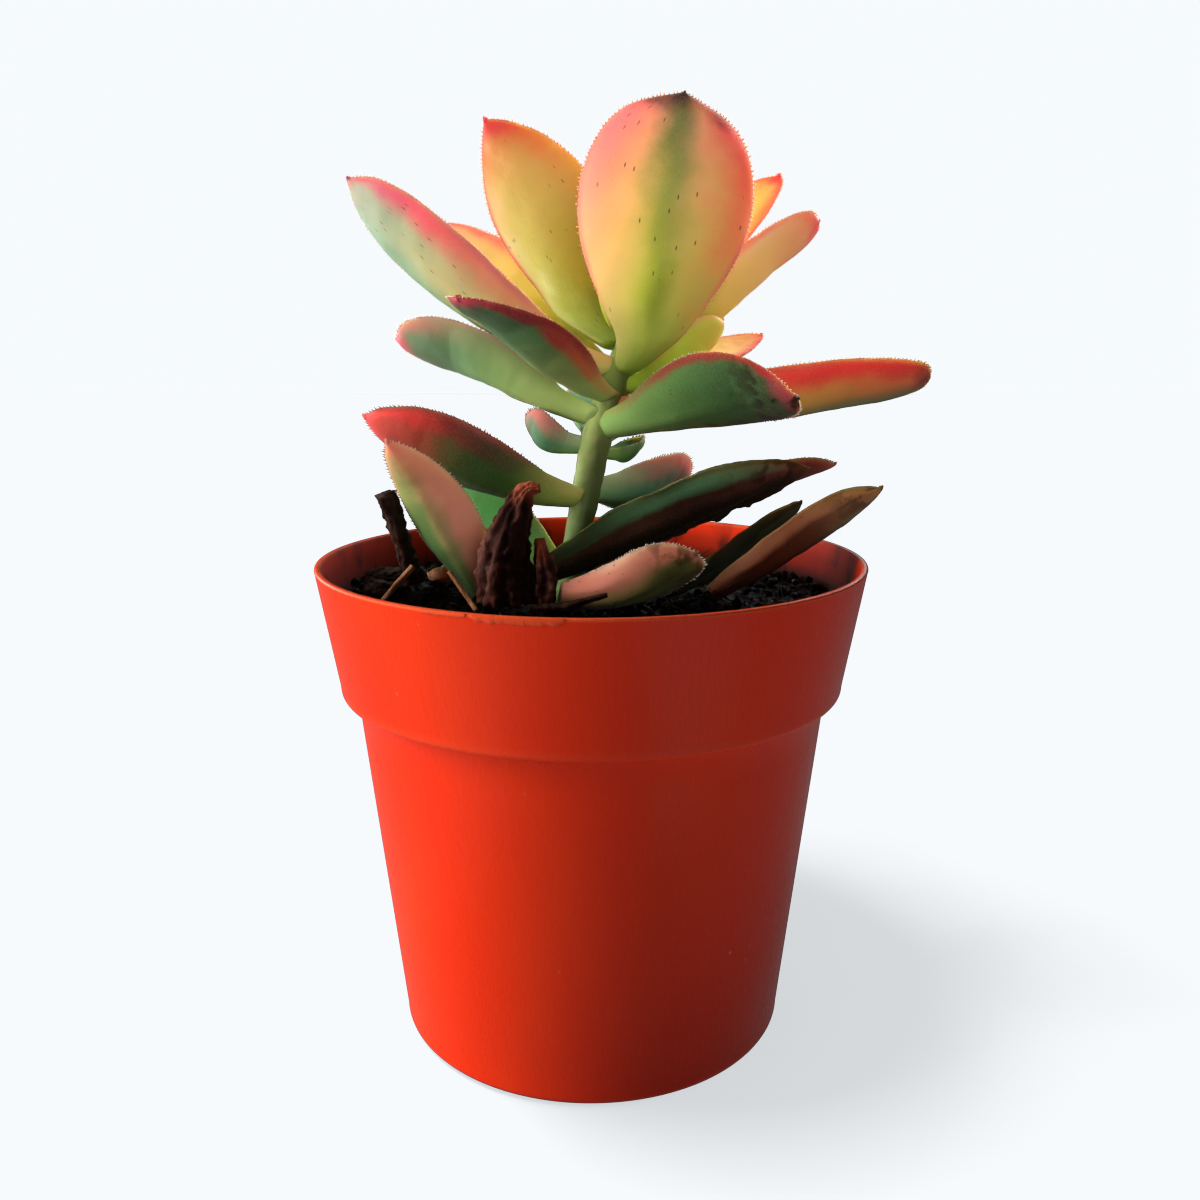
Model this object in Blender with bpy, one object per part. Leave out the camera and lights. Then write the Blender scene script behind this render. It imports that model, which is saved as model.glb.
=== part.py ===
"""A potted kalanchoe: a plastic nursery pot, its soil, one upright stem and its fleshy leaves.

The frame is +Z up with its origin at the middle of the pot's underside. The front of the
plant, where its broad crown leaf stands, faces -Y. Every size below is in millimetres, and
each mesh is scaled to metres as it is made.
"""

import math
from collections import namedtuple

import bmesh
import bpy
from mathutils import Quaternion, Vector, noise

MM = 0.001
GAP = 0.3  # left between pieces that touch on the real object

# The pot: a round nursery pot with a stepped collar.
POT_HEIGHT = 80.0
RIM_RADIUS = 45.0
WALL = 1.0
RIM_ROUND = 0.3
COLLAR_DEPTH = 21.0
COLLAR_FOOT_RADIUS = 41.7
COLLAR_ROUND = 1.0
BODY_TOP_RADIUS = 39.1
BASE_RADIUS = 33.0
BASE_ROUND = 1.2
FLOOR = 2.4
PAD_RADIUS = 9.0  # the middle of the underside, level with the foot ring
FOOT_INNER_RADIUS = 27.0
RECESS = 1.2
DRAIN_COUNT = 6
DRAIN_RADIUS = 3.0
DRAIN_CIRCLE = 18.0
DRAIN_TURN = 13.0  # degrees from the +X axis to the first hole
DRAIN_SIDES = 16
POT_SIDES = 64

# The soil: it fills the pot to a little under the rim and is heaped against the left wall.
SOIL_LEVEL = 72.0
SOIL_BUMP = 0.9
SOIL_BUMP_SIZE = 9.0
SOIL_HEAP = 3.0
SOIL_HEAP_AT = (-34.0, 2.0)
SOIL_HEAP_SPREAD = 10.0
SOIL_SIDES = 36
SOIL_RINGS = 6

# The stem: (x, y, z, radius) from its buried foot to the growing point.
STEM = (
    (-5.2, 0.0, 60.0, 2.0),
    (-4.2, 0.0, 72.0, 2.1),
    (-2.2, 0.0, 84.0, 2.2),
    (0.9, 0.0, 100.0, 2.5),
    (3.4, 0.0, 107.0, 2.7),
    (5.8, 0.0, 113.0, 2.5),
    (7.4, 0.0, 119.0, 1.4),
)
STEM_SIDES = 12

# The roots: a tap root that carries the stem on down, and side roots that spread from it.
TAP_ROOT = ((-5.2, 0.0, 59.2, 2.0), (-4.2, 0.8, 48.0, 1.5), (-3.2, -0.6, 36.0, 1.0), (-3.8, 0.2, 24.0, 0.5))
SIDE_ROOTS = 5
SIDE_ROOT_REACH = 18.0
SIDE_ROOT_DROP = 16.0
SIDE_ROOT_RADIUS = 0.8
SIDE_ROOT_SPACING = 2.5  # down the tap root
SIDE_ROOT_TURN = 0.4  # of a full turn, from each side root to the next
ROOT_SIDES = 8
ROOT_COLOR = (0.35, 0.25, 0.15)

# A leaf: where it grows from (a height up the stem, or a point), where its tip is, how wide
# and thick it is, how far its middle bows towards its lower face (arch) and to its left
# (sway), how far it is rolled and twisted about its own length, how far its edges stand up
# (cup), how wide its foot is against its widest part (waist), how far along that widest
# part is (peak), how round it is past there (point), and how blunt it ends.
Leaf = namedtuple(
    "Leaf",
    "name root tip width thick arch sway roll twist cup waist peak point blunt",
    defaults=(3.0, 3.0, 0.0, 0.0, 0.0, 1.0, 0.35, 0.62, 0.75, 24),
)
LEAF_RINGS = 9
LEAF_ACROSS = 4
LEAF_SWELL = 1.2  # how hollow the outline is between foot and widest part
LEAF_FOOT_THICKNESS = 0.6  # the foot's share of the full thickness
LEAF_BELLY_REACH = 1.4  # the thick part ends at 1 / this of the length
LEAF_UPPER_CROWN = 0.15  # how far the upper side rises, as a share of the thickness
LEAF_FOOT_SPARE = 0.4  # extra gap at the stem for a steep leaf, as a share of the thickness

LEAVES = (
    # The crown: broad young leaves that stand up round the growing point.
    Leaf("crown_leaf_front", 110.5, (13.6, -11.0, 149.7), 26.0, 3.6, 1.2, sway=-0.6, roll=-42, cup=2.5,
         waist=0.18, point=0.45, blunt=12),
    Leaf("crown_leaf_left", 114.5, (-17.1, 6.0, 149.5), 21.0, 3.2, 1.0, sway=-3.5, roll=-45, cup=2.5,
         waist=0.4, peak=0.56, point=0.9),
    Leaf("crown_leaf_back_left", 110.0, (-27.6, 28.0, 136.0), 8.6, 3.0, -3.5, roll=-25, waist=0.28),
    Leaf("crown_leaf_back", 113.5, (10.0, 24.0, 143.0), 22.0, 3.0, 3.0, cup=2.0, waist=0.2),
    Leaf("crown_leaf_right", 114.0, (31.0, 10.0, 141.6), 13.0, 3.0, -2.5, roll=20, waist=0.25),
    Leaf("crown_leaf_lower_right", 112.0, (35.6, -1.0, 133.2), 13.6, 3.0, -1.5, roll=-25, waist=0.28,
         peak=0.7, point=0.35, blunt=60),
    Leaf("crown_leaf_short", 108.0, (20.8, -2.4, 118.2), 10.0, 3.0, 0.0, roll=-30, waist=0.35, point=0.5),
    Leaf("crown_leaf_back_right", 109.5, (29.9, 17.0, 116.4), 8.0, 2.6, 1.0, roll=20, waist=0.4),
    # The middle of the stem: longer leaves that reach out.
    Leaf("leaf_far_left", 110.8, (-38.0, 0.0, 139.8), 13.6, 3.2, 2.4, roll=40, twist=14, waist=0.28,
         point=0.6, blunt=12),
    Leaf("leaf_front_left", 107.0, (-18.6, -22.0, 120.6), 18.0, 3.4, -2.0, roll=-5, waist=0.3, point=0.5),
    Leaf("leaf_left", 103.0, (-32.3, 6.0, 115.2), 18.0, 3.2, -3.0, roll=30, waist=0.3, peak=0.7,
         point=0.45),
    Leaf("leaf_front_right", 101.5, (30.0, -20.0, 106.6), 16.8, 3.6, -4.0, roll=-40, waist=0.3, point=0.6),
    Leaf("leaf_far_right", 104.5, (54.5, -1.0, 109.2), 14.0, 3.4, 0.0, roll=-35, point=0.3, blunt=60),
    Leaf("leaf_back", 100.5, (5.0, 38.0, 111.5), 17.0, 3.2, 2.0),
    Leaf("leaf_back_right", 105.5, (18.0, 36.0, 119.0), 14.0, 3.2, 2.0),
    # The lower stem: small leaves and old ones near the soil.
    Leaf("small_leaf_left", 98.5, (-10.8, 4.0, 103.0), 9.0, 2.2, 1.0, roll=45),
    Leaf("small_leaf_right", 97.5, (8.6, 3.0, 99.6), 6.0, 2.0, 0.5),
    Leaf("leaf_low_back_right", 91.0, (17.3, 18.0, 90.5), 15.0, 2.6, 0.0, roll=-45),
    Leaf("leaf_low_left", 90.0, (-36.0, -5.0, 103.4), 18.0, 3.2, 0.0, roll=35, waist=0.3),
    Leaf("leaf_low_back_left", (-6.0, 8.0, 77.0), (-24.0, 13.0, 92.5), 16.0, 2.6, 0.0, roll=50),
    Leaf("wilted_leaf_right", (-10.0, -6.6, 77.4), (35.0, -5.0, 95.2), 13.4, 2.0, -1.8, roll=-50, peak=0.55,
         point=0.6),
    Leaf("leaf_behind_wilted", (16.0, 6.0, 86.5), (41.5, 6.0, 94.8), 8.0, 2.2, -1.5, roll=-30),
    # Leaves that stand in the soil or lie on it.
    Leaf("standing_leaf_left", (-18.6, -2.0, 73.8), (-30.7, -15.0, 100.3), 11.4, 2.8, -3.0, roll=30,
         waist=0.3, peak=0.42),
    Leaf("soil_leaf_front", (-5.0, -12.0, 76.4), (16.4, -13.0, 82.8), 14.0, 2.6, 0.0, sway=2.6, roll=-45,
         peak=0.7, point=0.4),
    Leaf("strip_leaf_right", (14.0, 2.0, 74.5), (35.5, 4.0, 88.6), 10.0, 2.2, 1.0, roll=-35),
    Leaf("fallen_leaf_right", (19.6, -4.0, 74.5), (47.0, -4.0, 92.0), 11.2, 2.2, -0.6, roll=-40),
    Leaf("leaf_scrap", (-27.6, 2.5, 76.2), (-21.5, 0.5, 77.4), 5.0, 1.0, 0.0, roll=-20),
)

# The youngest leaves stand round the growing point, each a little higher and smaller.
BUD_LEAVES = 5
BUD_FIRST_ROOT = 116.0
BUD_STEP = 0.9
BUD_REACH = 4.5
BUD_LENGTH = 13.0
BUD_WIDTH = 7.0
BUD_SHRINK = 0.85
BUD_START_TURN = 230.0
GOLDEN_ANGLE = 137.5

# Dead, dry pieces: rods that taper and curl, as (x, y, z, radius) stations.
DRY_RODS = {
    "dried_leaf_curled": (
        (-13.8, -12.0, 74.8, 4.0),
        (-13.6, -12.0, 80.0, 3.8),
        (-12.8, -12.0, 85.0, 3.1),
        (-11.4, -12.0, 89.5, 2.1),
        (-9.8, -12.0, 92.4, 1.3),
        (-7.8, -12.0, 92.8, 0.6),
    ),
    "dried_leaf_small": ((-7.2, -13.4, 75.0, 1.6), (-7.4, -12.9, 80.0, 1.5), (-8.0, -12.2, 85.0, 0.7)),
    "bark_stick": ((-29.5, -1.0, 75.8, 1.7), (-30.8, -3.0, 82.0, 1.5), (-33.0, -5.0, 91.0, 1.6)),
    "bark_splinter": ((-28.2, -9.5, 80.0, 0.5), (-33.0, -11.0, 74.8, 0.4)),
    "straw_left": ((-22.6, -9.0, 79.0, 0.4), (-17.8, -14.0, 73.8, 0.4)),
    "twig_front": ((-9.5, -15.0, 74.4, 0.6), (-4.0, -16.5, 75.2, 0.6), (2.5, -17.0, 77.0, 0.4)),
}
ROD_SIDES = 8

# Lumps of bark and peat on the soil: (x, y, radius).
LUMPS = ((-36.0, 6.0, 3.2), (-35.0, -4.0, 2.6), (30.0, -9.0, 2.2))


def new_object(name, mesh_data, color, roughness):
    """Makes one named object, in metres, from a bmesh in millimetres, with its own material."""
    bmesh.ops.recalc_face_normals(mesh_data, faces=mesh_data.faces)
    bmesh.ops.scale(mesh_data, vec=(MM, MM, MM), verts=mesh_data.verts)
    mesh = bpy.data.meshes.new(name)
    mesh_data.to_mesh(mesh)
    mesh_data.free()
    mesh.shade_smooth()
    mesh.set_sharp_from_angle(angle=math.radians(40))
    material = bpy.data.materials.new(name)
    material.use_nodes = True
    shader = material.node_tree.nodes["Principled BSDF"]
    shader.inputs["Base Color"].default_value = (*color, 1.0)
    shader.inputs["Roughness"].default_value = roughness
    mesh.materials.append(material)
    piece = bpy.data.objects.new(name, mesh)
    bpy.context.scene.collection.objects.link(piece)
    return piece


def hide_cutter(piece):
    """Keeps a cutting shape out of the model."""
    piece.hide_render = True
    piece.display_type = "WIRE"


def cut(piece, cutter):
    """Takes the cutter's shape out of a piece."""
    modifier = piece.modifiers.new("cut_" + cutter.name, "BOOLEAN")
    modifier.operation = "DIFFERENCE"
    modifier.object = cutter
    hide_cutter(cutter)


def arc(center_r, center_z, radius, start, end, steps=4):
    """Points (r, z) of a round corner, from one angle in degrees to another."""
    points = []
    for step in range(steps + 1):
        angle = math.radians(start + (end - start) * step / steps)
        points.append((center_r + radius * math.cos(angle), center_z + radius * math.sin(angle)))
    return points


def turned(profile, sides):
    """A solid turned round the Z axis from a profile of (r, z) whose two ends are on it."""
    shape = bmesh.new()
    rings = []
    for radius, height in profile:
        if radius < 1e-6:
            rings.append([shape.verts.new((0.0, 0.0, height))])
            continue
        ring = []
        for side in range(sides):
            angle = math.tau * side / sides
            ring.append(shape.verts.new((radius * math.cos(angle), radius * math.sin(angle), height)))
        rings.append(ring)
    bridge(shape, rings)
    return shape


def bridge(shape, rings):
    """Skins consecutive rings of equal size, where a ring of one point closes an end."""
    for lower, upper in zip(rings, rings[1:]):
        count = max(len(lower), len(upper))
        for side in range(count):
            after = (side + 1) % count
            corners = [lower[side % len(lower)], lower[after % len(lower)]]
            corners += [upper[after % len(upper)], upper[side % len(upper)]]
            shape.faces.new(list(dict.fromkeys(corners)))


def wall_radius(height):
    """The radius of the pot's inner wall at a height."""
    ledge = POT_HEIGHT - COLLAR_DEPTH + WALL
    if height < ledge:
        along = height / ledge
        return BASE_RADIUS + (BODY_TOP_RADIUS - BASE_RADIUS) * along - WALL
    along = (height - ledge) / (POT_HEIGHT - ledge)
    return COLLAR_FOOT_RADIUS + (RIM_RADIUS - COLLAR_FOOT_RADIUS) * along - WALL


def make_pot():
    ledge = POT_HEIGHT - COLLAR_DEPTH
    profile = [
        (0.0, 0.0),
        (PAD_RADIUS, 0.0),
        (PAD_RADIUS + RECESS, RECESS),
        (FOOT_INNER_RADIUS - RECESS, RECESS),
        (FOOT_INNER_RADIUS, 0.0),
    ]
    profile += arc(BASE_RADIUS - BASE_ROUND, BASE_ROUND, BASE_ROUND, -90, 0)
    profile += [(BODY_TOP_RADIUS, ledge)]
    profile += arc(COLLAR_FOOT_RADIUS - COLLAR_ROUND, ledge + COLLAR_ROUND, COLLAR_ROUND, -90, 0)
    profile += arc(RIM_RADIUS - RIM_ROUND, POT_HEIGHT - RIM_ROUND, RIM_ROUND, 0, 90, 2)
    profile += arc(RIM_RADIUS - WALL + RIM_ROUND, POT_HEIGHT - RIM_ROUND, RIM_ROUND, 90, 180, 2)
    profile += [
        (wall_radius(ledge + WALL), ledge + WALL),
        (wall_radius(ledge + WALL - 1e-3), ledge + WALL),
        (wall_radius(FLOOR), FLOOR),
        (0.0, FLOOR),
    ]
    pot = new_object("pot", turned(profile, POT_SIDES), (0.75, 0.07, 0.02), 0.35)
    for index in range(DRAIN_COUNT):
        angle = math.radians(DRAIN_TURN) + math.tau * index / DRAIN_COUNT
        center = Vector((DRAIN_CIRCLE * math.cos(angle), DRAIN_CIRCLE * math.sin(angle), 0.0))
        ends = [center - Vector((0, 0, 1)), center + Vector((0, 0, FLOOR + 1))]
        bore = tube(ends, [DRAIN_RADIUS] * 2, DRAIN_SIDES)
        cut(pot, new_object(f"drain_cutter_{index + 1}", bore, (0, 0, 0), 0.5))
    return pot


def soil_height(x, y):
    """The height of the soil's lumpy surface."""
    lumps = noise.noise(Vector((x, y, 0.0)) / SOIL_BUMP_SIZE)
    away = math.hypot(x - SOIL_HEAP_AT[0], y - SOIL_HEAP_AT[1])
    heap = SOIL_HEAP * math.exp(-((away / SOIL_HEAP_SPREAD) ** 2))
    return SOIL_LEVEL + SOIL_BUMP * lumps + heap


def make_soil():
    ledge = POT_HEIGHT - COLLAR_DEPTH + WALL
    bottom = FLOOR + GAP
    profile = [
        (0.0, bottom),
        (wall_radius(bottom) - GAP, bottom),
        (wall_radius(ledge - GAP) - GAP, ledge + GAP),
        (wall_radius(ledge + GAP) - GAP, ledge + GAP),
    ]
    rim = wall_radius(SOIL_LEVEL) - GAP
    profile += [(rim * ring / SOIL_RINGS, SOIL_LEVEL) for ring in range(SOIL_RINGS, -1, -1)]
    shape = turned(profile, SOIL_SIDES)
    for vert in shape.verts:
        if vert.co.z > SOIL_LEVEL - GAP:
            vert.co.z = soil_height(vert.co.x, vert.co.y)
    return new_object("soil", shape, (0.02, 0.015, 0.012), 0.95)


def tube(points, radii, sides):
    """A round bar through a few points, with a flat end at each."""
    shape = bmesh.new()
    points = [Vector(point) for point in points]
    heading = (points[1] - points[0]).normalized()
    first = heading.orthogonal().normalized()
    rings = []
    for index, point in enumerate(points):
        before = points[max(index - 1, 0)]
        after = points[min(index + 1, len(points) - 1)]
        turned_heading = (after - before).normalized()
        first = heading.rotation_difference(turned_heading) @ first
        heading = turned_heading
        second = heading.cross(first)
        ring = []
        for side in range(sides):
            angle = math.tau * side / sides
            outward = first * math.cos(angle) + second * math.sin(angle)
            ring.append(shape.verts.new(point + outward * radii[index]))
        rings.append(ring)
    bridge(shape, rings)
    shape.faces.new(rings[0])
    shape.faces.new(rings[-1])
    return shape


def rod(name, stations, sides, color, spare=0.0):
    """A tapering rod through stations of (x, y, z, radius), fatter all round by a spare gap."""
    points = [Vector(station[:3]) for station in stations]
    points[0] -= (points[1] - points[0]).normalized() * spare
    points[-1] += (points[-1] - points[-2]).normalized() * spare
    radii = [station[3] + spare for station in stations]
    return new_object(name, tube(points, radii, sides), color, 0.6)


def make_roots(name, spare=0.0):
    """The tap root with its side roots, as one body."""
    roots = rod(name, TAP_ROOT, ROOT_SIDES, ROOT_COLOR, spare)
    for index in range(SIDE_ROOTS):
        start = Vector(TAP_ROOT[1][:3])
        start.z -= SIDE_ROOT_SPACING * index
        angle = math.tau * index * SIDE_ROOT_TURN
        outward = Vector((math.cos(angle), math.sin(angle), 0.0))
        middle = start + outward * SIDE_ROOT_REACH / 2 - Vector((0, 0, SIDE_ROOT_DROP * 0.3))
        end = start + outward * SIDE_ROOT_REACH - Vector((0, 0, SIDE_ROOT_DROP))
        stations = [
            (*start, SIDE_ROOT_RADIUS),
            (*middle, SIDE_ROOT_RADIUS * 0.8),
            (*end, SIDE_ROOT_RADIUS * 0.4),
        ]
        side_root = rod(f"{name}_side_{index + 1}", stations, ROOT_SIDES, ROOT_COLOR, spare)
        union = roots.modifiers.new(f"side_root_{index + 1}", "BOOLEAN")
        union.operation = "UNION"
        union.object = side_root
        hide_cutter(side_root)
    return roots


def stem_at(height):
    """The middle of the stem and its radius at a height."""
    for lower, upper in zip(STEM, STEM[1:]):
        if height <= upper[2]:
            along = (height - lower[2]) / (upper[2] - lower[2])
            mixed = [low + (high - low) * along for low, high in zip(lower, upper)]
            return Vector(mixed[:3]), mixed[3]
    return Vector(STEM[-1][:3]), STEM[-1][3]


def leaf_root(leaf):
    """The middle of a leaf's foot: at its own point, or just clear of the stem at its height."""
    if isinstance(leaf.root, tuple):
        return Vector(leaf.root)
    center, radius = stem_at(leaf.root)
    reach = Vector(leaf.tip) - center
    outward = Vector((reach.x, reach.y, 0.0)).normalized()
    steepness = reach.normalized().z
    spare = LEAF_FOOT_SPARE * leaf.thick * steepness
    spare += leaf.waist * leaf.width / 2 * abs(math.sin(math.radians(leaf.roll))) * steepness
    return center + outward * (radius + GAP + spare)


def leaf_breadth(leaf, along):
    """The half width of a leaf at a fraction of its length."""
    if along < leaf.peak:
        share = leaf.waist + (1 - leaf.waist) * math.sin(math.pi / 2 * along / leaf.peak) ** LEAF_SWELL
    else:
        past = (along - leaf.peak) / (1 - leaf.peak)
        share = max(0.0, 1 - past**2) ** leaf.point * (1 - past**leaf.blunt)
    return leaf.width / 2 * share


def leaf_depth(leaf, along):
    """The thickness of a leaf at a fraction of its length."""
    belly = math.sin(math.pi * min(1.0, along * LEAF_BELLY_REACH))
    share = LEAF_FOOT_THICKNESS + (1 - LEAF_FOOT_THICKNESS) * belly
    return leaf.thick * share * (1 - along**4) ** 0.5


def leaf_frame(leaf, along):
    """The middle line's point, and the leaf's left and its upper side there."""
    root = leaf_root(leaf)
    tip = Vector(leaf.tip)
    chord = (tip - root).normalized()
    up = Vector((0, 0, 1)) - chord * chord.z
    up = Quaternion(chord, math.radians(leaf.roll)) @ up.normalized()
    left = up.cross(chord)
    handle = (root + tip) / 2 - up * leaf.arch * 2 + left * leaf.sway * 2
    point = root.lerp(handle, along).lerp(handle.lerp(tip, along), along)
    tangent = ((handle - root).lerp(tip - handle, along)).normalized()
    upper = (up - tangent * up.dot(tangent)).normalized()
    upper = Quaternion(tangent, math.radians(leaf.twist * along)) @ upper
    return point, upper.cross(tangent), upper


def make_leaf(leaf, color):
    """A fleshy leaf: flat or dished above, rounded below, thin along its edges."""
    shape = bmesh.new()
    rings = []
    for station in range(LEAF_RINGS):
        along = (station / LEAF_RINGS) ** 0.9
        point, left, upper = leaf_frame(leaf, along)
        breadth = leaf_breadth(leaf, along)
        depth = leaf_depth(leaf, along)
        ring = []
        for side in (1, -1):
            for index in range(LEAF_ACROSS):
                across = side * (1 - 2 * index / LEAF_ACROSS)
                lift = leaf.cup * (across**2 - 0.5) * breadth / (leaf.width / 2)
                if side < 0:
                    lift -= depth * (1 - across**2)
                else:
                    lift += LEAF_UPPER_CROWN * depth * (1 - across**2)
                ring.append(shape.verts.new(point + left * breadth * across + upper * lift))
        rings.append(ring)
    tip = shape.verts.new(leaf_frame(leaf, 1.0)[0])
    bridge(shape, rings + [[tip]])
    shape.faces.new(rings[0])
    return new_object(leaf.name, shape, color, 0.5)


def make_bud_leaf(index, color):
    """One of the young leaves round the growing point."""
    scale = BUD_SHRINK**index
    height = BUD_FIRST_ROOT + BUD_STEP * index
    center, _ = stem_at(height)
    angle = math.radians(BUD_START_TURN + GOLDEN_ANGLE * index)
    outward = Vector((math.cos(angle), math.sin(angle), 0.0))
    tip = center + outward * BUD_REACH * scale + Vector((0, 0, BUD_LENGTH * scale))
    leaf = Leaf(f"bud_leaf_{index + 1}", height, tuple(tip), BUD_WIDTH * scale, 1.8 * scale, 1.0 * scale)
    return make_leaf(leaf, color)


def make_lump(index, x, y, radius):
    """A rough lump of bark that rests on the soil."""
    shape = bmesh.new()
    bmesh.ops.create_icosphere(shape, subdivisions=1, radius=radius)
    for vert in shape.verts:
        vert.co *= 1 + 0.25 * noise.noise(vert.co + Vector((index * 7.0, 0, 0)))
    lowest = min(vert.co.z for vert in shape.verts)
    rest = max(soil_height(x + vert.co.x, y + vert.co.y) for vert in shape.verts) + GAP - lowest
    bmesh.ops.translate(shape, vec=(x, y, rest), verts=shape.verts)
    return new_object(f"bark_lump_{index + 1}", shape, (0.05, 0.03, 0.02), 0.95)


def clear_scene():
    for item in list(bpy.data.objects):
        bpy.data.objects.remove(item)


def main():
    clear_scene()
    make_pot()
    soil = make_soil()
    green = (0.25, 0.35, 0.12)
    rod("stem", STEM, STEM_SIDES, green)
    make_roots("roots")
    cut(soil, rod("stem_cutter", STEM, STEM_SIDES, green, GAP))
    cut(soil, make_roots("roots_cutter", GAP))
    for leaf in LEAVES:
        make_leaf(leaf, green)
    for index in range(BUD_LEAVES):
        make_bud_leaf(index, green)
    for name, stations in DRY_RODS.items():
        rod(name, stations, ROD_SIDES, (0.12, 0.06, 0.03))
    for index, (x, y, radius) in enumerate(LUMPS):
        make_lump(index, x, y, radius)


main()
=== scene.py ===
# %% [markdown]
# # A small succulent in a nursery pot
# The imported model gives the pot, the soil, the stem and every leaf at its real size, as plain
# solids. This script keeps their places and makes what the eye sees: thin toothed leaf edges,
# waxy skin whose colour runs from lime to pink, moulded plastic, crumbly peat.

# %% Load the frame
import math
import random
from collections import namedtuple

import bmesh
import bpy
import numpy as np
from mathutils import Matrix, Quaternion, Vector, noise


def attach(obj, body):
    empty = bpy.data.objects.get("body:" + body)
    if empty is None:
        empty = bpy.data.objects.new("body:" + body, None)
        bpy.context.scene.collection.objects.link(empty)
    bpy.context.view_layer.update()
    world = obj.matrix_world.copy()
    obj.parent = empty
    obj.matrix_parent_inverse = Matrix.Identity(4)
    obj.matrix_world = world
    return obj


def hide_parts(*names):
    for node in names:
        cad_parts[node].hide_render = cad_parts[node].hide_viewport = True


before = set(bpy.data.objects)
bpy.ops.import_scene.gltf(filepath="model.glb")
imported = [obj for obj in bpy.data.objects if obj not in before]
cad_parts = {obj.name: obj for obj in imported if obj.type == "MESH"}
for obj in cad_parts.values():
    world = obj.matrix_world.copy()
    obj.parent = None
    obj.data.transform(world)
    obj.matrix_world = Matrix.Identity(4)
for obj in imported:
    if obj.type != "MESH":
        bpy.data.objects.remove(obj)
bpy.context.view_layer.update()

MM = 0.001

# %% [markdown]
# ## Camera
# A hand-held shot of a small thing is taken from close by, a little above the rim, so the pot's
# mouth shows as a narrow ellipse and the near side looms. A 33 mm lens from 18 cm gives that.

# %% Camera
CAMERA_PLACE = Vector((1.4, -181.0, 112.9)) * MM
CAMERA_TILT = 0.22  # radians below level
lens = bpy.data.cameras.new("camera")
lens.lens = 33.0
lens.clip_start = 0.01
camera = bpy.data.objects.new("camera", lens)
camera.location = CAMERA_PLACE
camera.rotation_euler = (math.pi / 2 - CAMERA_TILT, 0.0, 0.0)
bpy.context.scene.collection.objects.link(camera)
bpy.context.scene.camera = camera
bpy.context.scene.view_settings.view_transform = "Standard"
print("camera stands", round(-CAMERA_PLACE.y / MM), "mm in front of the pot's middle")


# %% [markdown]
# ## Colours and shader helpers
# Paint charts give colours as three numbers from 0 to 255, while a shader wants linear light, so
# one helper converts them. A second small class keeps each material readable: every method adds
# one node, joins it to what it is given, and returns its output.

# %% Colour and node helpers
def tint(red, green, blue):
    """A chart colour of 0 to 255 as linear red, green, blue and alpha."""
    channels = [value / 255 for value in (red, green, blue)]
    return tuple(c / 12.92 if c < 0.04045 else ((c + 0.055) / 1.055) ** 2.4 for c in channels) + (1.0,)


MIX_FIRST, MIX_SECOND, MIX_RESULT = 6, 7, 2  # where a mix node keeps its two colours and its result


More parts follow.
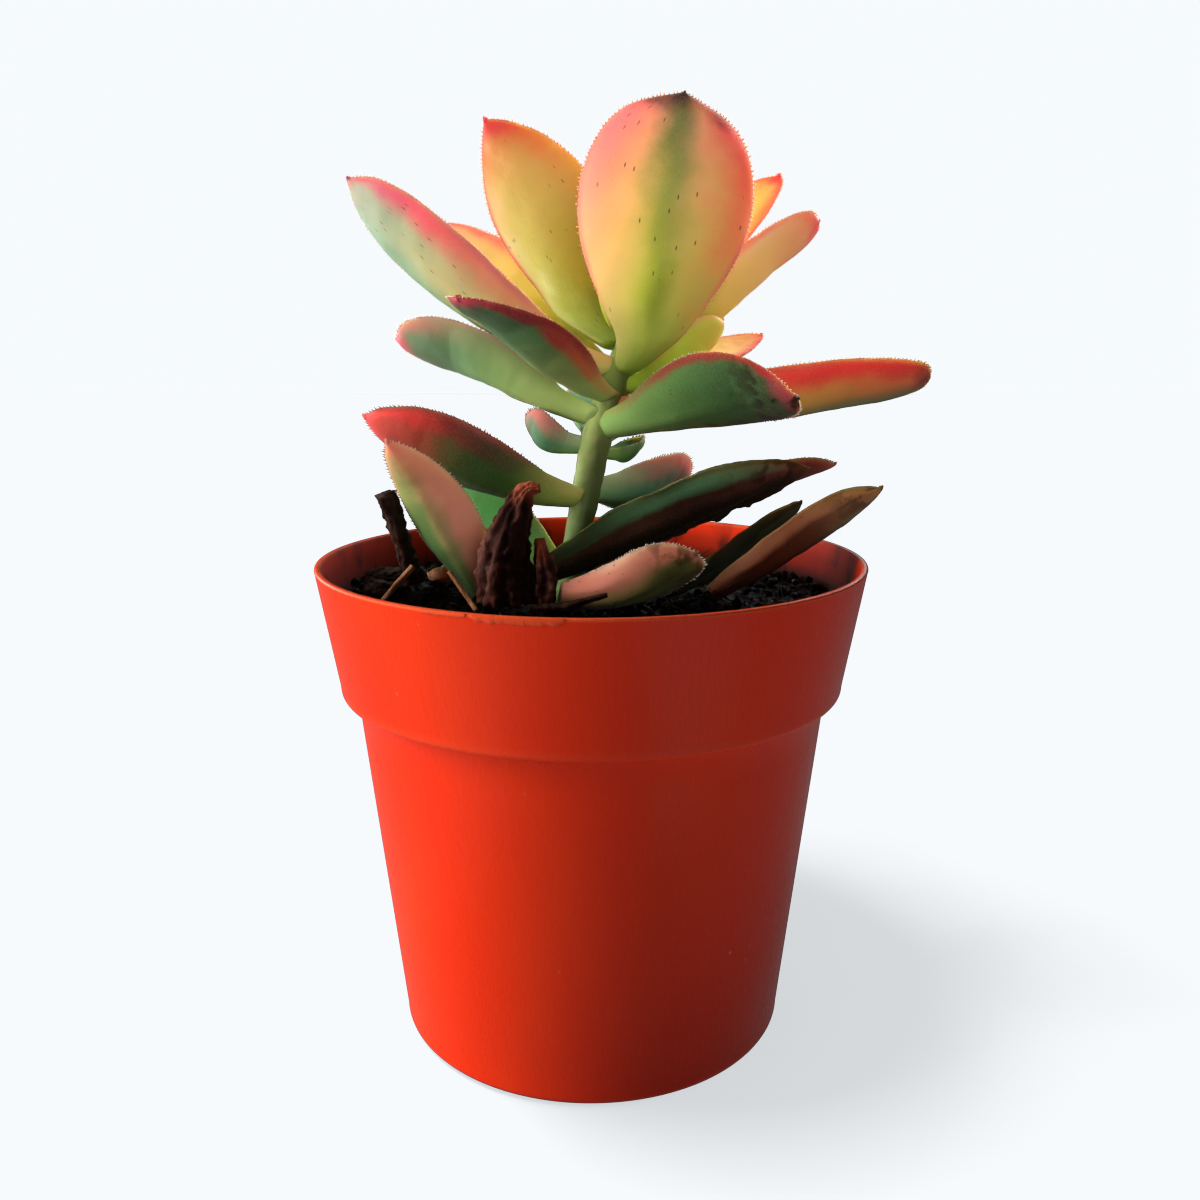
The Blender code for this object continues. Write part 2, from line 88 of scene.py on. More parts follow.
class Mixer:
    """Builds one Principled material, node by node."""

    def __init__(self, name, roughness=0.5, **settings):
        self.material = bpy.data.materials.new(name)
        self.material.use_nodes = True
        self.tree = self.material.node_tree
        self.shader = self.tree.nodes["Principled BSDF"]
        self.shader.inputs["Roughness"].default_value = roughness
        for socket, value in settings.items():
            self.shader.inputs[socket.replace("_", " ")].default_value = value

    def node(self, kind, **values):
        made = self.tree.nodes.new(kind)
        for name, value in values.items():
            setattr(made, name, value)
        return made

    def plug(self, value, socket):
        """Sets a socket, or joins another node's output to it."""
        if isinstance(value, bpy.types.NodeSocket):
            self.tree.links.new(value, socket)
        else:
            socket.default_value = value

    def place(self, stretch=(1.0, 1.0, 1.0)):
        """Where a point is on the piece, in metres."""
        spot = self.node("ShaderNodeTexCoord").outputs["Object"]
        mapping = self.node("ShaderNodeMapping")
        self.plug(spot, mapping.inputs["Vector"])
        mapping.inputs["Scale"].default_value = stretch
        return mapping.outputs["Vector"]

    def attribute(self, name):
        return self.node("ShaderNodeAttribute", attribute_name=name).outputs["Fac"]

    def noise(self, scale, detail=3.0, where=None, seed=0.0):
        """Soft random light and dark, from 0 to 1."""
        made = self.node("ShaderNodeTexNoise", noise_dimensions="4D")
        self.plug(where if where is not None else self.place(), made.inputs["Vector"])
        made.inputs["W"].default_value = seed
        made.inputs["Scale"].default_value = scale
        made.inputs["Detail"].default_value = detail
        return made.outputs["Fac"]

    def cells(self, scale, where=None, flat=False):
        """The distance to the nearest of many scattered points, in space or on a flat map."""
        made = self.node("ShaderNodeTexVoronoi", voronoi_dimensions="2D" if flat else "3D")
        self.plug(where if where is not None else self.place(), made.inputs["Vector"])
        made.inputs["Scale"].default_value = scale
        return made.outputs["Distance"]

    def math(self, operation, first, second=0.0):
        made = self.node("ShaderNodeMath", operation=operation)
        self.plug(first, made.inputs[0])
        self.plug(second, made.inputs[1])
        return made.outputs["Value"]

    def times(self, first, second):
        return self.math("MULTIPLY", first, second)

    def plus(self, first, second):
        return self.math("ADD", first, second)

    def span(self, value, low, high, start=0.0, end=1.0):
        """Eases a value from start to end as it goes from low to high."""
        made = self.node("ShaderNodeMapRange", interpolation_type="SMOOTHSTEP")
        for number, socket in zip((value, low, high, start, end), made.inputs):
            self.plug(number, socket)
        return made.outputs["Result"]

    def mix(self, share, first, second):
        made = self.node("ShaderNodeMix", data_type="RGBA")
        self.plug(share, made.inputs[0])
        self.plug(first, made.inputs[MIX_FIRST])
        self.plug(second, made.inputs[MIX_SECOND])
        return made.outputs[MIX_RESULT]

    def ramp(self, value, stops):
        """A row of colours along a value, as (place, colour) pairs."""
        made = self.node("ShaderNodeValToRGB")
        made.color_ramp.interpolation = "B_SPLINE" if len(stops) > 3 else "EASE"
        for index, (where, color) in enumerate(stops):
            if index < 2:
                made.color_ramp.elements[index].position = where
            stop = made.color_ramp.elements[index] if index < 2 else made.color_ramp.elements.new(where)
            stop.color = color
        self.plug(value, made.inputs["Fac"])
        return made.outputs["Color"]

    def bump(self, height, strength, distance, under=None):
        made = self.node("ShaderNodeBump")
        made.inputs["Strength"].default_value = strength
        made.inputs["Distance"].default_value = distance
        self.plug(height, made.inputs["Height"])
        if under is not None:
            self.plug(under, made.inputs["Normal"])
        return made.outputs["Normal"]

    def done(self, color, normal=None, roughness=None):
        self.plug(color, self.shader.inputs["Base Color"])
        if normal is not None:
            self.plug(normal, self.shader.inputs["Normal"])
        if roughness is not None:
            self.plug(roughness, self.shader.inputs["Roughness"])
        return self.material


print("tint turns white into", tint(255, 255, 255))


# %% [markdown]
# ## Studio
# The plant stands beside a large window at its left. That one broad light shines through the crown
# leaves and leaves the pot's right side deep red. The plastic doesn't mirror it: a second panel, seen
# only in reflections, makes the bright streak down the pot's left side. Two weak lamps on the table
# stand for the light that a pale table throws back. The floor only catches a soft shadow: its own
# two lamps, which light nothing else, set how deep the shadow is and where it falls.

# %% Floor, world and lights
FLOOR_SIZE = 6.0
FLOOR_DROP = 0.0002  # keeps the floor just clear of the pot's foot
SKY = tint(246, 250, 253)
SKY_LIGHT = 0.03  # how much of the sky's brightness falls on the plant

bpy.ops.mesh.primitive_plane_add(size=FLOOR_SIZE, location=(0, 0, -FLOOR_DROP))
floor = bpy.context.object
floor.name = "studio_floor"
paper = Mixer("studio_paper", roughness=0.9)
floor.data.materials.append(paper.done(tint(150, 152, 154)))
floor.is_shadow_catcher = True

# The camera sees a bright sky, while only a dim one lights the plant.
world = bpy.data.worlds.new("studio_world")
bpy.context.scene.world = world
world.use_nodes = True
sky_nodes = world.node_tree.nodes
sky_links = world.node_tree.links
bright_sky = sky_nodes["Background"]
bright_sky.inputs["Color"].default_value = SKY
bright_sky.inputs["Strength"].default_value = 1.0
dim_sky = sky_nodes.new("ShaderNodeBackground")
dim_sky.inputs["Color"].default_value = SKY
dim_sky.inputs["Strength"].default_value = SKY_LIGHT
ray = sky_nodes.new("ShaderNodeLightPath")
choose = sky_nodes.new("ShaderNodeMixShader")
sky_links.new(ray.outputs["Is Camera Ray"], choose.inputs["Fac"])
sky_links.new(dim_sky.outputs[0], choose.inputs[1])
sky_links.new(bright_sky.outputs[0], choose.inputs[2])
sky_links.new(choose.outputs[0], sky_nodes["World Output"].inputs["Surface"])

floor_only = bpy.data.collections.new("floor_only")
floor_only.objects.link(floor)
all_but_floor = bpy.data.collections.new("all_but_floor")
all_but_floor.objects.link(floor)
all_but_floor.collection_objects[0].light_linking.link_state = "EXCLUDE"


def soft_light(name, place, target, width, height, watts, color=(1.0, 1.0, 1.0), lit=all_but_floor):
    """A rectangular panel of light at a place, in metres, that faces a target."""
    panel = bpy.data.lights.new(name, "AREA")
    panel.shape = "RECTANGLE"
    panel.size = width
    panel.size_y = height
    panel.energy = watts
    panel.color = color
    lamp = bpy.data.objects.new(name, panel)
    lamp.location = place
    lamp.rotation_euler = (Vector(target) - Vector(place)).to_track_quat("-Z", "Y").to_euler()
    bpy.context.scene.collection.objects.link(lamp)
    lamp.light_linking.receiver_collection = lit
    return lamp


MIDDLE = (0.0, 0.0, 0.09)
# The window lights the plant but isn't mirrored; the sheen panel does only the mirroring.
window = soft_light("window_left", (-0.62, -0.04, 0.27), MIDDLE, 0.5, 0.6, 10.3, (1.0, 0.97, 0.92))
window.visible_glossy = False
sheen = soft_light("sheen_left", (-0.66, 0.42, 0.15), MIDDLE, 0.6, 0.5, 2.4)
sheen.visible_diffuse = False
fill = soft_light("fill_front", (0.3, -0.6, 0.1), MIDDLE, 0.5, 0.5, 0.34)
fill.visible_glossy = False
soft_light("glow_behind", (0.25, 0.55, 0.45), MIDDLE, 0.4, 0.4, 1.5)
soft_light("shadow_maker", (-0.2, -0.05, 0.75), MIDDLE, 0.2, 0.2, 1.1, lit=floor_only)

GLOW_HEIGHT = 0.003
TABLE_GLOWS = (  # name, place on the table, width and watts
    ("table_glow_left", -0.2, -0.03, 0.28, 0.16),
    ("table_glow_right", 0.12, -0.15, 0.14, 0.07),
)
for name, x, y, width, watts in TABLE_GLOWS:
    glow = soft_light(name, (x, y, GLOW_HEIGHT), (x, y, 1.0), width, width, watts)
    glow.visible_camera = False
    glow.visible_glossy = False

wash = soft_light("floor_wash", (0.0, -0.3, 1.0), MIDDLE, 1.0, 1.0, 6.0, lit=floor_only)
wash.data.use_shadow = False  # evens out the shadow's depth without a second one
print("four panels of light on the plant,", len(TABLE_GLOWS), "low on the table and two for the floor")


# %% [markdown]
# ## Making a piece
# Each visible piece stands for an imported solid, so one helper makes the mesh, shades it smooth, gives it
# its finish, hangs it on the root body and hides the solid it replaces.

# %% Piece helper
sunlit = bpy.data.collections.new("sunlit_leaves")


def make_piece(name, points, faces, material, node=None, values=None):
    """A smooth mesh piece from points in millimetres, with named values on its points."""
    mesh = bpy.data.meshes.new(name)
    mesh.from_pydata([tuple(point * MM for point in spot) for spot in points], [], faces)
    for label, numbers in (values or {}).items():
        layer = mesh.attributes.new(label, "FLOAT", "POINT")
        layer.data.foreach_set("value", numbers)
    mesh.shade_smooth()
    mesh.validate()
    mesh.materials.append(material)
    piece = bpy.data.objects.new(name, mesh)
    bpy.context.scene.collection.objects.link(piece)
    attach(piece, "root")
    if node:
        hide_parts(node)
    return piece


def skin(rings, closed_ends=(True, True)):
    """Faces over rings of equal size that are stored one after another, with fans over the ends."""
    count, around = rings
    faces = []
    for ring in range(count - 1):
        for side in range(around):
            after = (side + 1) % around
            low, high = ring * around, (ring + 1) * around
            faces.append((low + side, low + after, high + after, high + side))
    if closed_ends[0]:
        faces.append(tuple(reversed(range(around))))
    if closed_ends[1]:
        faces.append(tuple(range((count - 1) * around, count * around)))
    return faces


def shifted(faces, start):
    """Faces whose points are stored after the first points of a larger mesh."""
    return [tuple(start + index for index in face) for face in faces]


print("helpers ready for", len(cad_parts), "packed pieces")


# %% [markdown]
# ## Pot
# A nursery pot is blown or pressed from thin orange polypropylene: a straight tapering cup with a
# wider collar, so that empty pots stack. Turning one outline round the middle gives the whole
# shell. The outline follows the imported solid, with finer rounds and many more sides.

# %% Pot outline
RIM_HEIGHT = 80.0
RIM_RADIUS = 45.0
WALL = 1.0
LEDGE_HEIGHT = 59.0
COLLAR_FOOT_RADIUS = 41.7
COLLAR_ROUND = 1.0
BODY_TOP_RADIUS = 39.1
BASE_RADIUS = 33.0
BASE_ROUND = 1.2
PAD_RADIUS = 9.0  # the level pad in the middle of the underside
FOOT_RADIUS = 27.0  # the inner edge of the ring that the pot stands on
FOOT_RISE = 1.2
RIM_ROUND = 0.35
SHELF_HEIGHT = LEDGE_HEIGHT + WALL  # the step inside, where the collar starts
POT_FLOOR = 2.4
POT_SIDES = 256
POT_WAVINESS = 0.0012  # how far the wall strays from round, as a share of its radius


def arc(center, radius, start, end, steps=8):
    """Points of a round corner in the outline, from one angle in degrees to another."""
    angles = [math.radians(start + (end - start) * step / steps) for step in range(steps + 1)]
    return [(center[0] + radius * math.cos(a), center[1] + radius * math.sin(a)) for a in angles]


def run(start, end, steps):
    """Evenly spaced points of a straight stretch, without its last one."""
    shares = [step / steps for step in range(steps)]
    return [(start[0] + (end[0] - start[0]) * s, start[1] + (end[1] - start[1]) * s) for s in shares]


def wall_radius(height):
    """The radius of the pot's inner wall at a height."""
    if height < SHELF_HEIGHT:
        return BASE_RADIUS + (BODY_TOP_RADIUS - BASE_RADIUS) * height / SHELF_HEIGHT - WALL
    along = (height - SHELF_HEIGHT) / (RIM_HEIGHT - SHELF_HEIGHT)
    return COLLAR_FOOT_RADIUS + (RIM_RADIUS - COLLAR_FOOT_RADIUS) * along - WALL


def wall_point(height):
    """A point of the inner wall's outline at a height."""
    return wall_radius(height), height


outer = [(0.0, 0.0), (PAD_RADIUS, 0.0), (PAD_RADIUS + FOOT_RISE, FOOT_RISE)]
outer += [(FOOT_RADIUS - FOOT_RISE, FOOT_RISE), (FOOT_RADIUS, 0.0)]
outer += arc((BASE_RADIUS - BASE_ROUND, BASE_ROUND), BASE_ROUND, -90, 0)
outer += run((BASE_RADIUS, BASE_ROUND + 0.5), (BODY_TOP_RADIUS, LEDGE_HEIGHT - 0.4), 10)
outer += [(BODY_TOP_RADIUS, LEDGE_HEIGHT - 0.4), (BODY_TOP_RADIUS + 0.3, LEDGE_HEIGHT)]
outer += arc((COLLAR_FOOT_RADIUS - COLLAR_ROUND, LEDGE_HEIGHT + COLLAR_ROUND), COLLAR_ROUND, -90, 0)
outer += run((COLLAR_FOOT_RADIUS + 0.1, LEDGE_HEIGHT + 2.0), (RIM_RADIUS - 0.1, RIM_HEIGHT - 0.8), 6)
outer += [(RIM_RADIUS - 0.1, RIM_HEIGHT - 0.8), (RIM_RADIUS - 0.05, RIM_HEIGHT - 0.5)]
outer += arc((RIM_RADIUS - RIM_ROUND, RIM_HEIGHT - RIM_ROUND), RIM_ROUND, 0, 90, 4)
inner = arc((RIM_RADIUS - WALL + RIM_ROUND, RIM_HEIGHT - RIM_ROUND), RIM_ROUND, 90, 180, 4)
inner += run(wall_point(RIM_HEIGHT - 0.6), wall_point(SHELF_HEIGHT + 0.5), 6)
inner += [wall_point(SHELF_HEIGHT), (wall_radius(SHELF_HEIGHT - 0.1), SHELF_HEIGHT)]
inner += run(wall_point(SHELF_HEIGHT - 1.0), wall_point(POT_FLOOR), 4)
inner += [wall_point(POT_FLOOR), (0.0, POT_FLOOR)]
print("pot outline of", len(outer), "outer and", len(inner), "inner points")

# %% Pot material
def pot_plastic():
    """Satin orange-red plastic: faint clouding, dust specks, painted edge highlights, painted shade and
    dried soil inside near the peat.
    """
    look = Mixer("pot_plastic_satin", roughness=0.3, Specular_IOR_Level=0.28, Subsurface_Weight=0.06,
                 Subsurface_Radius=(1.0, 0.2, 0.05), Subsurface_Scale=0.001)
    clouds = look.noise(35.0, 4.0, look.place((1.0, 1.0, 0.35)))
    color = look.mix(look.span(clouds, 0.3, 0.75), tint(230, 44, 4), tint(236, 56, 8))
    # Painted highlight: the rim's edge, a faint line along the ledge's edge and the moulding flash are
    # mixed towards pale orange.
    color = look.mix(look.times(look.attribute("edge"), 0.3), color, tint(246, 130, 80))
    # Dust sits in small groups.
    dust = look.span(look.cells(260.0), 0.05, 0.085, 1.0, 0.0)
    dust = look.times(dust, look.span(look.noise(60.0, 2.0, seed=3.0), 0.56, 0.66))
    color = look.mix(look.times(dust, 0.6), color, tint(250, 170, 120))
    # The inside gets painted shade that deepens towards the soil, and a dark smear of peat and painted
    # shade that thins out towards the rim.
    inside = look.attribute("inside")
    height = look.attribute("height")
    # The smear is partly peat and partly painted shade, solid just above the soil.
    peat_smear_and_shade = look.span(look.noise(190.0, 5.0, look.place((1.0, 1.0, 0.45)), 7.0), 0.5, 0.62)
    soil_line = look.span(height, 72.5, 76.5, 1.0, 0.0)
    peat_smear_and_shade = look.times(look.math("MAXIMUM", peat_smear_and_shade, soil_line), inside)
    peat_smear_and_shade = look.times(peat_smear_and_shade, look.span(height, 74.0, 79.4, 0.95, 0.3))
    # Painted shade: the inner wall darkens towards the soil.
    depth = look.times(inside, look.span(height, 76.0, 79.8, 0.7, 0.1))
    color = look.mix(depth, color, tint(120, 26, 10))
    color = look.mix(peat_smear_and_shade, color, tint(24, 9, 6))
    # Upright scuffs roughen the outside a little.
    scuffs = look.noise(900.0, 2.0, look.place((1.0, 1.0, 0.12)), 5.0)
    rough = look.plus(look.span(scuffs, 0.35, 0.75, 0.26, 0.31), look.times(inside, 0.3))
    grain = look.noise(2600.0, 2.0)
    return look.done(color, look.bump(grain, 0.06, 0.00008), rough)


# %% Turn the pot
def turn_outline(outline, sides, waviness):
    """Points and faces of an outline turned round the middle; its two ends lie on the axis."""
    points, faces = [(0.0, 0.0, outline[0][1])], []
    for radius, height in outline[1:-1]:
        for side in range(sides):
            angle = math.tau * side / sides
            spot = Vector((math.cos(angle) * 1.5, math.sin(angle) * 1.5, height * 0.02))
            shift = 1.0 + waviness * noise.noise(spot)
            points.append((radius * shift * math.cos(angle), radius * shift * math.sin(angle), height))
    points.append((0.0, 0.0, outline[-1][1]))
    rings = len(outline) - 2
    for side in range(sides):
        after = (side + 1) % sides
        faces.append((0, 1 + after, 1 + side))
        for ring in range(rings - 1):
            low, high = 1 + ring * sides, 1 + (ring + 1) * sides
            faces.append((low + side, low + after, high + after, high + side))
        last = 1 + (rings - 1) * sides
        faces.append((last + side, last + after, len(points) - 1))
    return points, faces


def drill(piece, places, radius, low, high):
    """Cuts round holes straight down through a piece."""
    cutters = bmesh.new()
    for x, y in places:
        made = bmesh.ops.create_cone(cutters, cap_ends=True, segments=40, radius1=radius * MM,
                                     radius2=radius * MM, depth=(high - low) * MM)
        bmesh.ops.translate(cutters, vec=Vector((x, y, (low + high) / 2)) * MM, verts=made["verts"])
    mesh = bpy.data.meshes.new("drill")
    cutters.to_mesh(mesh)
    cutters.free()
    drill_bits = bpy.data.objects.new("drill", mesh)
    bpy.context.scene.collection.objects.link(drill_bits)
    modifier = piece.modifiers.new("holes", "BOOLEAN")
    modifier.operation = "DIFFERENCE"
    modifier.object = drill_bits
    with bpy.context.temp_override(object=piece):
        bpy.ops.object.modifier_apply(modifier="holes")
    bpy.data.objects.remove(drill_bits)


DRAIN_HOLES = 6
DRAIN_RING_RADIUS = 18.0
DRAIN_RADIUS = 3.0
DRAIN_START_TURN = 13.0

plastic = pot_plastic()
pot_points, pot_faces = turn_outline(outer + inner, POT_SIDES, POT_WAVINESS)
inside_from = 1 + (len(outer) - 1) * POT_SIDES
edges = [0.0] * len(pot_points)
inside = [0.0] * len(pot_points)
for index, (x, y, z) in enumerate(pot_points):
    inside[index] = float(index >= inside_from)
    away = math.hypot(x, y)
    # The edge value sets the painted highlight: full on the rim, faint along the ledge's edge.
    at_rim = z > RIM_HEIGHT - 0.4
    at_ledge = abs(z - LEDGE_HEIGHT - 0.7) < 0.6 and away > COLLAR_FOOT_RADIUS - 0.6
    edges[index] = 1.0 if at_rim else 0.2 if at_ledge else 0.0
heights = [point[2] for point in pot_points]
pot = make_piece("pot_shell", pot_points, pot_faces, plastic, "pot",
                 {"edge": edges, "inside": inside, "height": heights})
drains = []
for hole in range(DRAIN_HOLES):
    turn = math.radians(DRAIN_START_TURN + 360.0 * hole / DRAIN_HOLES)
    drains.append((DRAIN_RING_RADIUS * math.cos(turn), DRAIN_RING_RADIUS * math.sin(turn)))
drill(pot, drains, DRAIN_RADIUS, -1.0, POT_FLOOR + 1.0)
print("pot shell has", len(pot.data.vertices), "points")

# %% [markdown]
# Where the two halves of the mould meet, a little plastic squeezes out and leaves a ragged thread
# along the front of the rim. It catches the light, so it is made as a real thin strip.

# %% Moulding flash on the rim
FLASH_STEPS = 90
# The flash's paleness is a painted highlight, where the thin film catches the light.
FLASH_PAINTED_HIGHLIGHT = (0.9, 0.75, 1.0, 0.5, 0.5)  # of each point across the film, from the top to the back


def rim_flash(name, start, end, drop, seed):
    """A ragged film that hangs from the rim's outer edge, between two angles in degrees."""
    slope = (RIM_RADIUS - COLLAR_FOOT_RADIUS) / (RIM_HEIGHT - LEDGE_HEIGHT)
    points = []
    for step in range(FLASH_STEPS + 1):
        angle = math.radians(start + (end - start) * step / FLASH_STEPS)
        ends = min(1.0, step / 8, (FLASH_STEPS - step) / 8)
        fall = drop * ends * (0.65 + 0.5 * noise.noise(Vector((step * 0.13, seed, 0.0))))
        fall += 0.18 * noise.noise(Vector((step * 0.9, seed, 4.0)))
        section = [(RIM_HEIGHT + 0.02, 0.05), (RIM_HEIGHT - 0.3, 0.16), (RIM_HEIGHT - 0.45 - fall, 0.13)]
        section += [(RIM_HEIGHT - 0.55 - fall, -0.1), (RIM_HEIGHT - 0.1, -0.2)]
        for height, out in section:
            radius = RIM_RADIUS - slope * (RIM_HEIGHT - height) + out
            points.append((radius * math.cos(angle), radius * math.sin(angle), height))
    edge = list(FLASH_PAINTED_HIGHLIGHT) * (FLASH_STEPS + 1)
    zeros = [0.0] * len(points)
    levels = [point[2] for point in points]
    make_piece(name, points, skin((FLASH_STEPS + 1, len(FLASH_PAINTED_HIGHLIGHT))), plastic,
               values={"edge": edge, "inside": zeros, "height": levels})


rim_flash("rim_flash_front", -110.0, -94.0, 0.8, 1.0)
rim_flash("rim_flash_left", -120.0, -111.0, 0.2, 5.0)
print("two strips of flash on the rim")

# %% [markdown]
# ## Soil
# Peat is a heap of crumbs and fibres that swallows nearly all light. A lumpy sheet alone looks like
# dough, so three layers are stacked: the sheet, hundreds of loose crumbs and many fine fibres.

# %% Soil surface
SOIL_LEVEL = 72.0
HEAP_PLACE = (-34.0, 2.0)


def soil_height(x, y):
    """The lumpy surface of the packed soil."""
    lumps = noise.noise(Vector((x, y, 0.0)) / 9.0)
    away = math.hypot(x - HEAP_PLACE[0], y - HEAP_PLACE[1])
    return SOIL_LEVEL + 0.9 * lumps + 3.0 * math.exp(-((away / 10.0) ** 2))


def soil_look():
    """Wet dark peat: almost black, with brown and a few pale grains."""
    look = Mixer("peat", roughness=0.95, Specular_IOR_Level=0.2)
    fine = look.noise(900.0, 6.0)
    shade = look.times(look.plus(fine, look.attribute("shade")), 0.5)
    color = look.ramp(shade, [(0.25, tint(3, 2, 2)), (0.5, tint(9, 7, 6)), (0.75, tint(28, 20, 15)),
                              (1.0, tint(140, 108, 84))])
    crumbs = look.bump(look.noise(1500.0, 6.0), 0.8, 0.0006)
    return look.done(color, crumbs, look.span(fine, 0.3, 0.7, 0.98, 0.6))


peat = soil_look()
SOIL_RINGS = 110
SOIL_AROUND = 300
SOIL_EDGE_GAP = 0.12
SOIL_UNDERSIDE = (  # radius and height of the rings below the surface, from the step down to the floor
    (wall_radius(60.4) - 0.2, 60.3),
    (wall_radius(59.9) - 0.3, 60.2),
    (wall_radius(2.8) - 0.3, 2.7),
)
soil_points = []
for ring in range(SOIL_RINGS):
    share = (ring + 1) / SOIL_RINGS
    for step in range(SOIL_AROUND):
        angle = math.tau * step / SOIL_AROUND
        radius = share * (wall_radius(SOIL_LEVEL) - SOIL_EDGE_GAP)
        x, y = radius * math.cos(angle), radius * math.sin(angle)
        spot = Vector((x, y, 0.0))
        rough = 0.9 * abs(noise.noise(spot / 3.0)) + 0.55 * noise.noise(spot / 1.2)
        rough += 0.35 * noise.noise(spot / 0.5)
        soil_points.append((x, y, soil_height(x, y) + rough))
for radius, height in SOIL_UNDERSIDE:
    for step in range(SOIL_AROUND):
        angle = math.tau * step / SOIL_AROUND
        soil_points.append((radius * math.cos(angle), radius * math.sin(angle), height))
soil_rings = SOIL_RINGS + len(SOIL_UNDERSIDE)
soil_faces = [tuple(reversed(face)) for face in skin((soil_rings, SOIL_AROUND))]
soil_shades = [0.45 + 0.25 * noise.noise(Vector(point) / 4.0) for point in soil_points]
make_piece("soil_bed", soil_points, soil_faces, peat, "soil", {"shade": soil_shades})
print("soil bed has", len(soil_points), "points")

# %% Crumbs and fibres
dice = random.Random(12)
SOIL_REACH = 42.3  # crumbs and fibres stay this close to the middle, inside the wall
CRUMBS = 1500
PALE_GRAINS = 45
FIBRES = 230
CRUMB_SHADES = (0.2, 0.35, 0.5, 0.6)
FIBRE_SHADES = (0.3, 0.5, 0.7, 0.9, 1.2)
PALE_SHADE = 1.5
FIBRE_PARTS = 7
FIBRE_BEND = 0.2


def scatter(reach):
    """A random place on the soil within a radius."""
    away = reach * math.sqrt(dice.random())
    angle = math.tau * dice.random()
    x, y = away * math.cos(angle), away * math.sin(angle)
    return Vector((x, y, soil_height(x, y)))


def crumb(points, faces, shades, center, size, shade):
    """Adds one rough grain to a heap of grains."""
    grain = bmesh.new()
    bmesh.ops.create_icosphere(grain, subdivisions=1, radius=size)
    start = len(points)
    squash = Vector((1.0, dice.uniform(0.6, 1.0), dice.uniform(0.5, 0.9)))
    turn = Quaternion(Vector((dice.random(), dice.random(), 1.0)).normalized(), dice.uniform(0, math.tau))
    for vert in grain.verts:
        rough = 1.0 + 0.45 * noise.noise(vert.co / size * 1.3 + center * 3.1)
        points.append(tuple(center + turn @ (vert.co * squash) * rough))
        shades.append(shade)
    for face in grain.faces:
        faces.append(tuple(start + vert.index for vert in face.verts))
    grain.free()


def fibre(points, faces, shades, start, heading, length, thick, shade):
    """Adds one thin bent fibre to a heap of fibres."""
    base = len(points)
    spot = Vector(start)
    for part in range(FIBRE_PARTS + 1):
        across = heading.orthogonal().normalized()
        other = heading.cross(across).normalized()
        size = thick * (1.0 - 0.7 * part / FIBRE_PARTS)
        away = math.hypot(spot.x, spot.y)
        if away > SOIL_REACH:
            spot.x, spot.y = spot.x * SOIL_REACH / away, spot.y * SOIL_REACH / away
        for side in range(4):
            angle = math.tau * side / 4
            points.append(tuple(spot + (across * math.cos(angle) + other * math.sin(angle)) * size))
            shades.append(shade)
        bend = Vector([dice.uniform(-FIBRE_BEND, FIBRE_BEND) for _ in range(3)])
        heading = (heading + bend).normalized()
        spot = spot + heading * length / FIBRE_PARTS
    faces += shifted(skin((FIBRE_PARTS + 1, 4)), base)


points, faces, shades = [], [], []
for _ in range(CRUMBS):
    center = scatter(SOIL_REACH)
    size = 0.25 + 1.1 * dice.random() ** 3
    lift = Vector((0, 0, 0.6 + size * 0.4))
    crumb(points, faces, shades, center + lift, size, dice.choice(CRUMB_SHADES))
for _ in range(PALE_GRAINS):
    crumb(points, faces, shades, scatter(42.0) + Vector((0, 0, 1.2)), dice.uniform(0.18, 0.4), PALE_SHADE)
make_piece("soil_crumbs", points, faces, peat, values={"shade": shades})
points, faces, shades = [], [], []
for _ in range(FIBRES):
    angle = math.tau * dice.random()
    heading = Vector((math.cos(angle), math.sin(angle), dice.uniform(-0.1, 0.45))).normalized()
    place = scatter(41.0) + Vector((0, 0, 0.9))
    shade = dice.choice(FIBRE_SHADES)
    fibre(points, faces, shades, place, heading, dice.uniform(3.0, 8.0), dice.uniform(0.07, 0.17), shade)
make_piece("soil_fibres", points, faces, peat, values={"shade": shades})
print(CRUMBS, "crumbs,", PALE_GRAINS, "pale grains and", FIBRES, "fibres scattered")

# %% [markdown]
# ## Stem and roots
# A soft stem stays green for its first years. Every leaf that fell left a pale ring, so the stem
# looks jointed; the rings are small swellings in the mesh and lighter bands in the finish.

# %% Stem line
GOLDEN_ANGLE = 137.5  # the turn in degrees from one leaf or side root to the next
STEM = (  # x, y, height and radius
    (-5.2, 0, 60, 2.0),
    (-4.2, 0, 72, 2.1),
    (-2.2, 0, 84, 2.2),
    (0.9, 0, 100, 2.5),
    (3.4, 0, 107, 2.7),
    (5.8, 0, 113, 2.5),
    (7.4, 0, 119, 1.4),
)


def stem_at(height):
    """The middle and radius of the stem at a height."""
    for low, high in zip(STEM, STEM[1:]):
        if height <= high[2]:
            break
    share = (height - low[2]) / (high[2] - low[2])
    x, y, z, radius = (a + (b - a) * share for a, b in zip(low, high))
    return Vector((x, y, z)), radius


def tube_points(stations, around, roughness=0.0, size=1.0, ridges=0.0, seed=0.0):
    """Rings of points along stations of (middle, radius), with a lumpy or ridged surface."""
    middles = [station[0] for station in stations]
    ahead = (middles[1] - middles[0]).normalized()
    across = ahead.orthogonal().normalized()
    points = []
    for index, (middle, radius) in enumerate(stations):
        before = middles[max(0, index - 1)]
        after = middles[min(len(middles) - 1, index + 1)]
        turned = (after - before).normalized()
        across = ahead.rotation_difference(turned) @ across
        ahead = turned
        other = ahead.cross(across)
        for side in range(around):
            angle = math.tau * side / around
            out = across * math.cos(angle) + other * math.sin(angle)
            lump = noise.noise((middle + out * radius) / size + Vector((seed, 0, 0)))
            on_ring = Vector((math.cos(angle) * 2.1, math.sin(angle) * 2.1, index * 0.045 + seed))
            crease = noise.noise(on_ring)
            grain = noise.noise((middle + out * radius) * 2.2 / size + Vector((seed, 9, 0)))
            swell = 1.0 + roughness * (lump + 0.5 * grain) + ridges * crease
            points.append(middle + out * radius * swell)
    return points


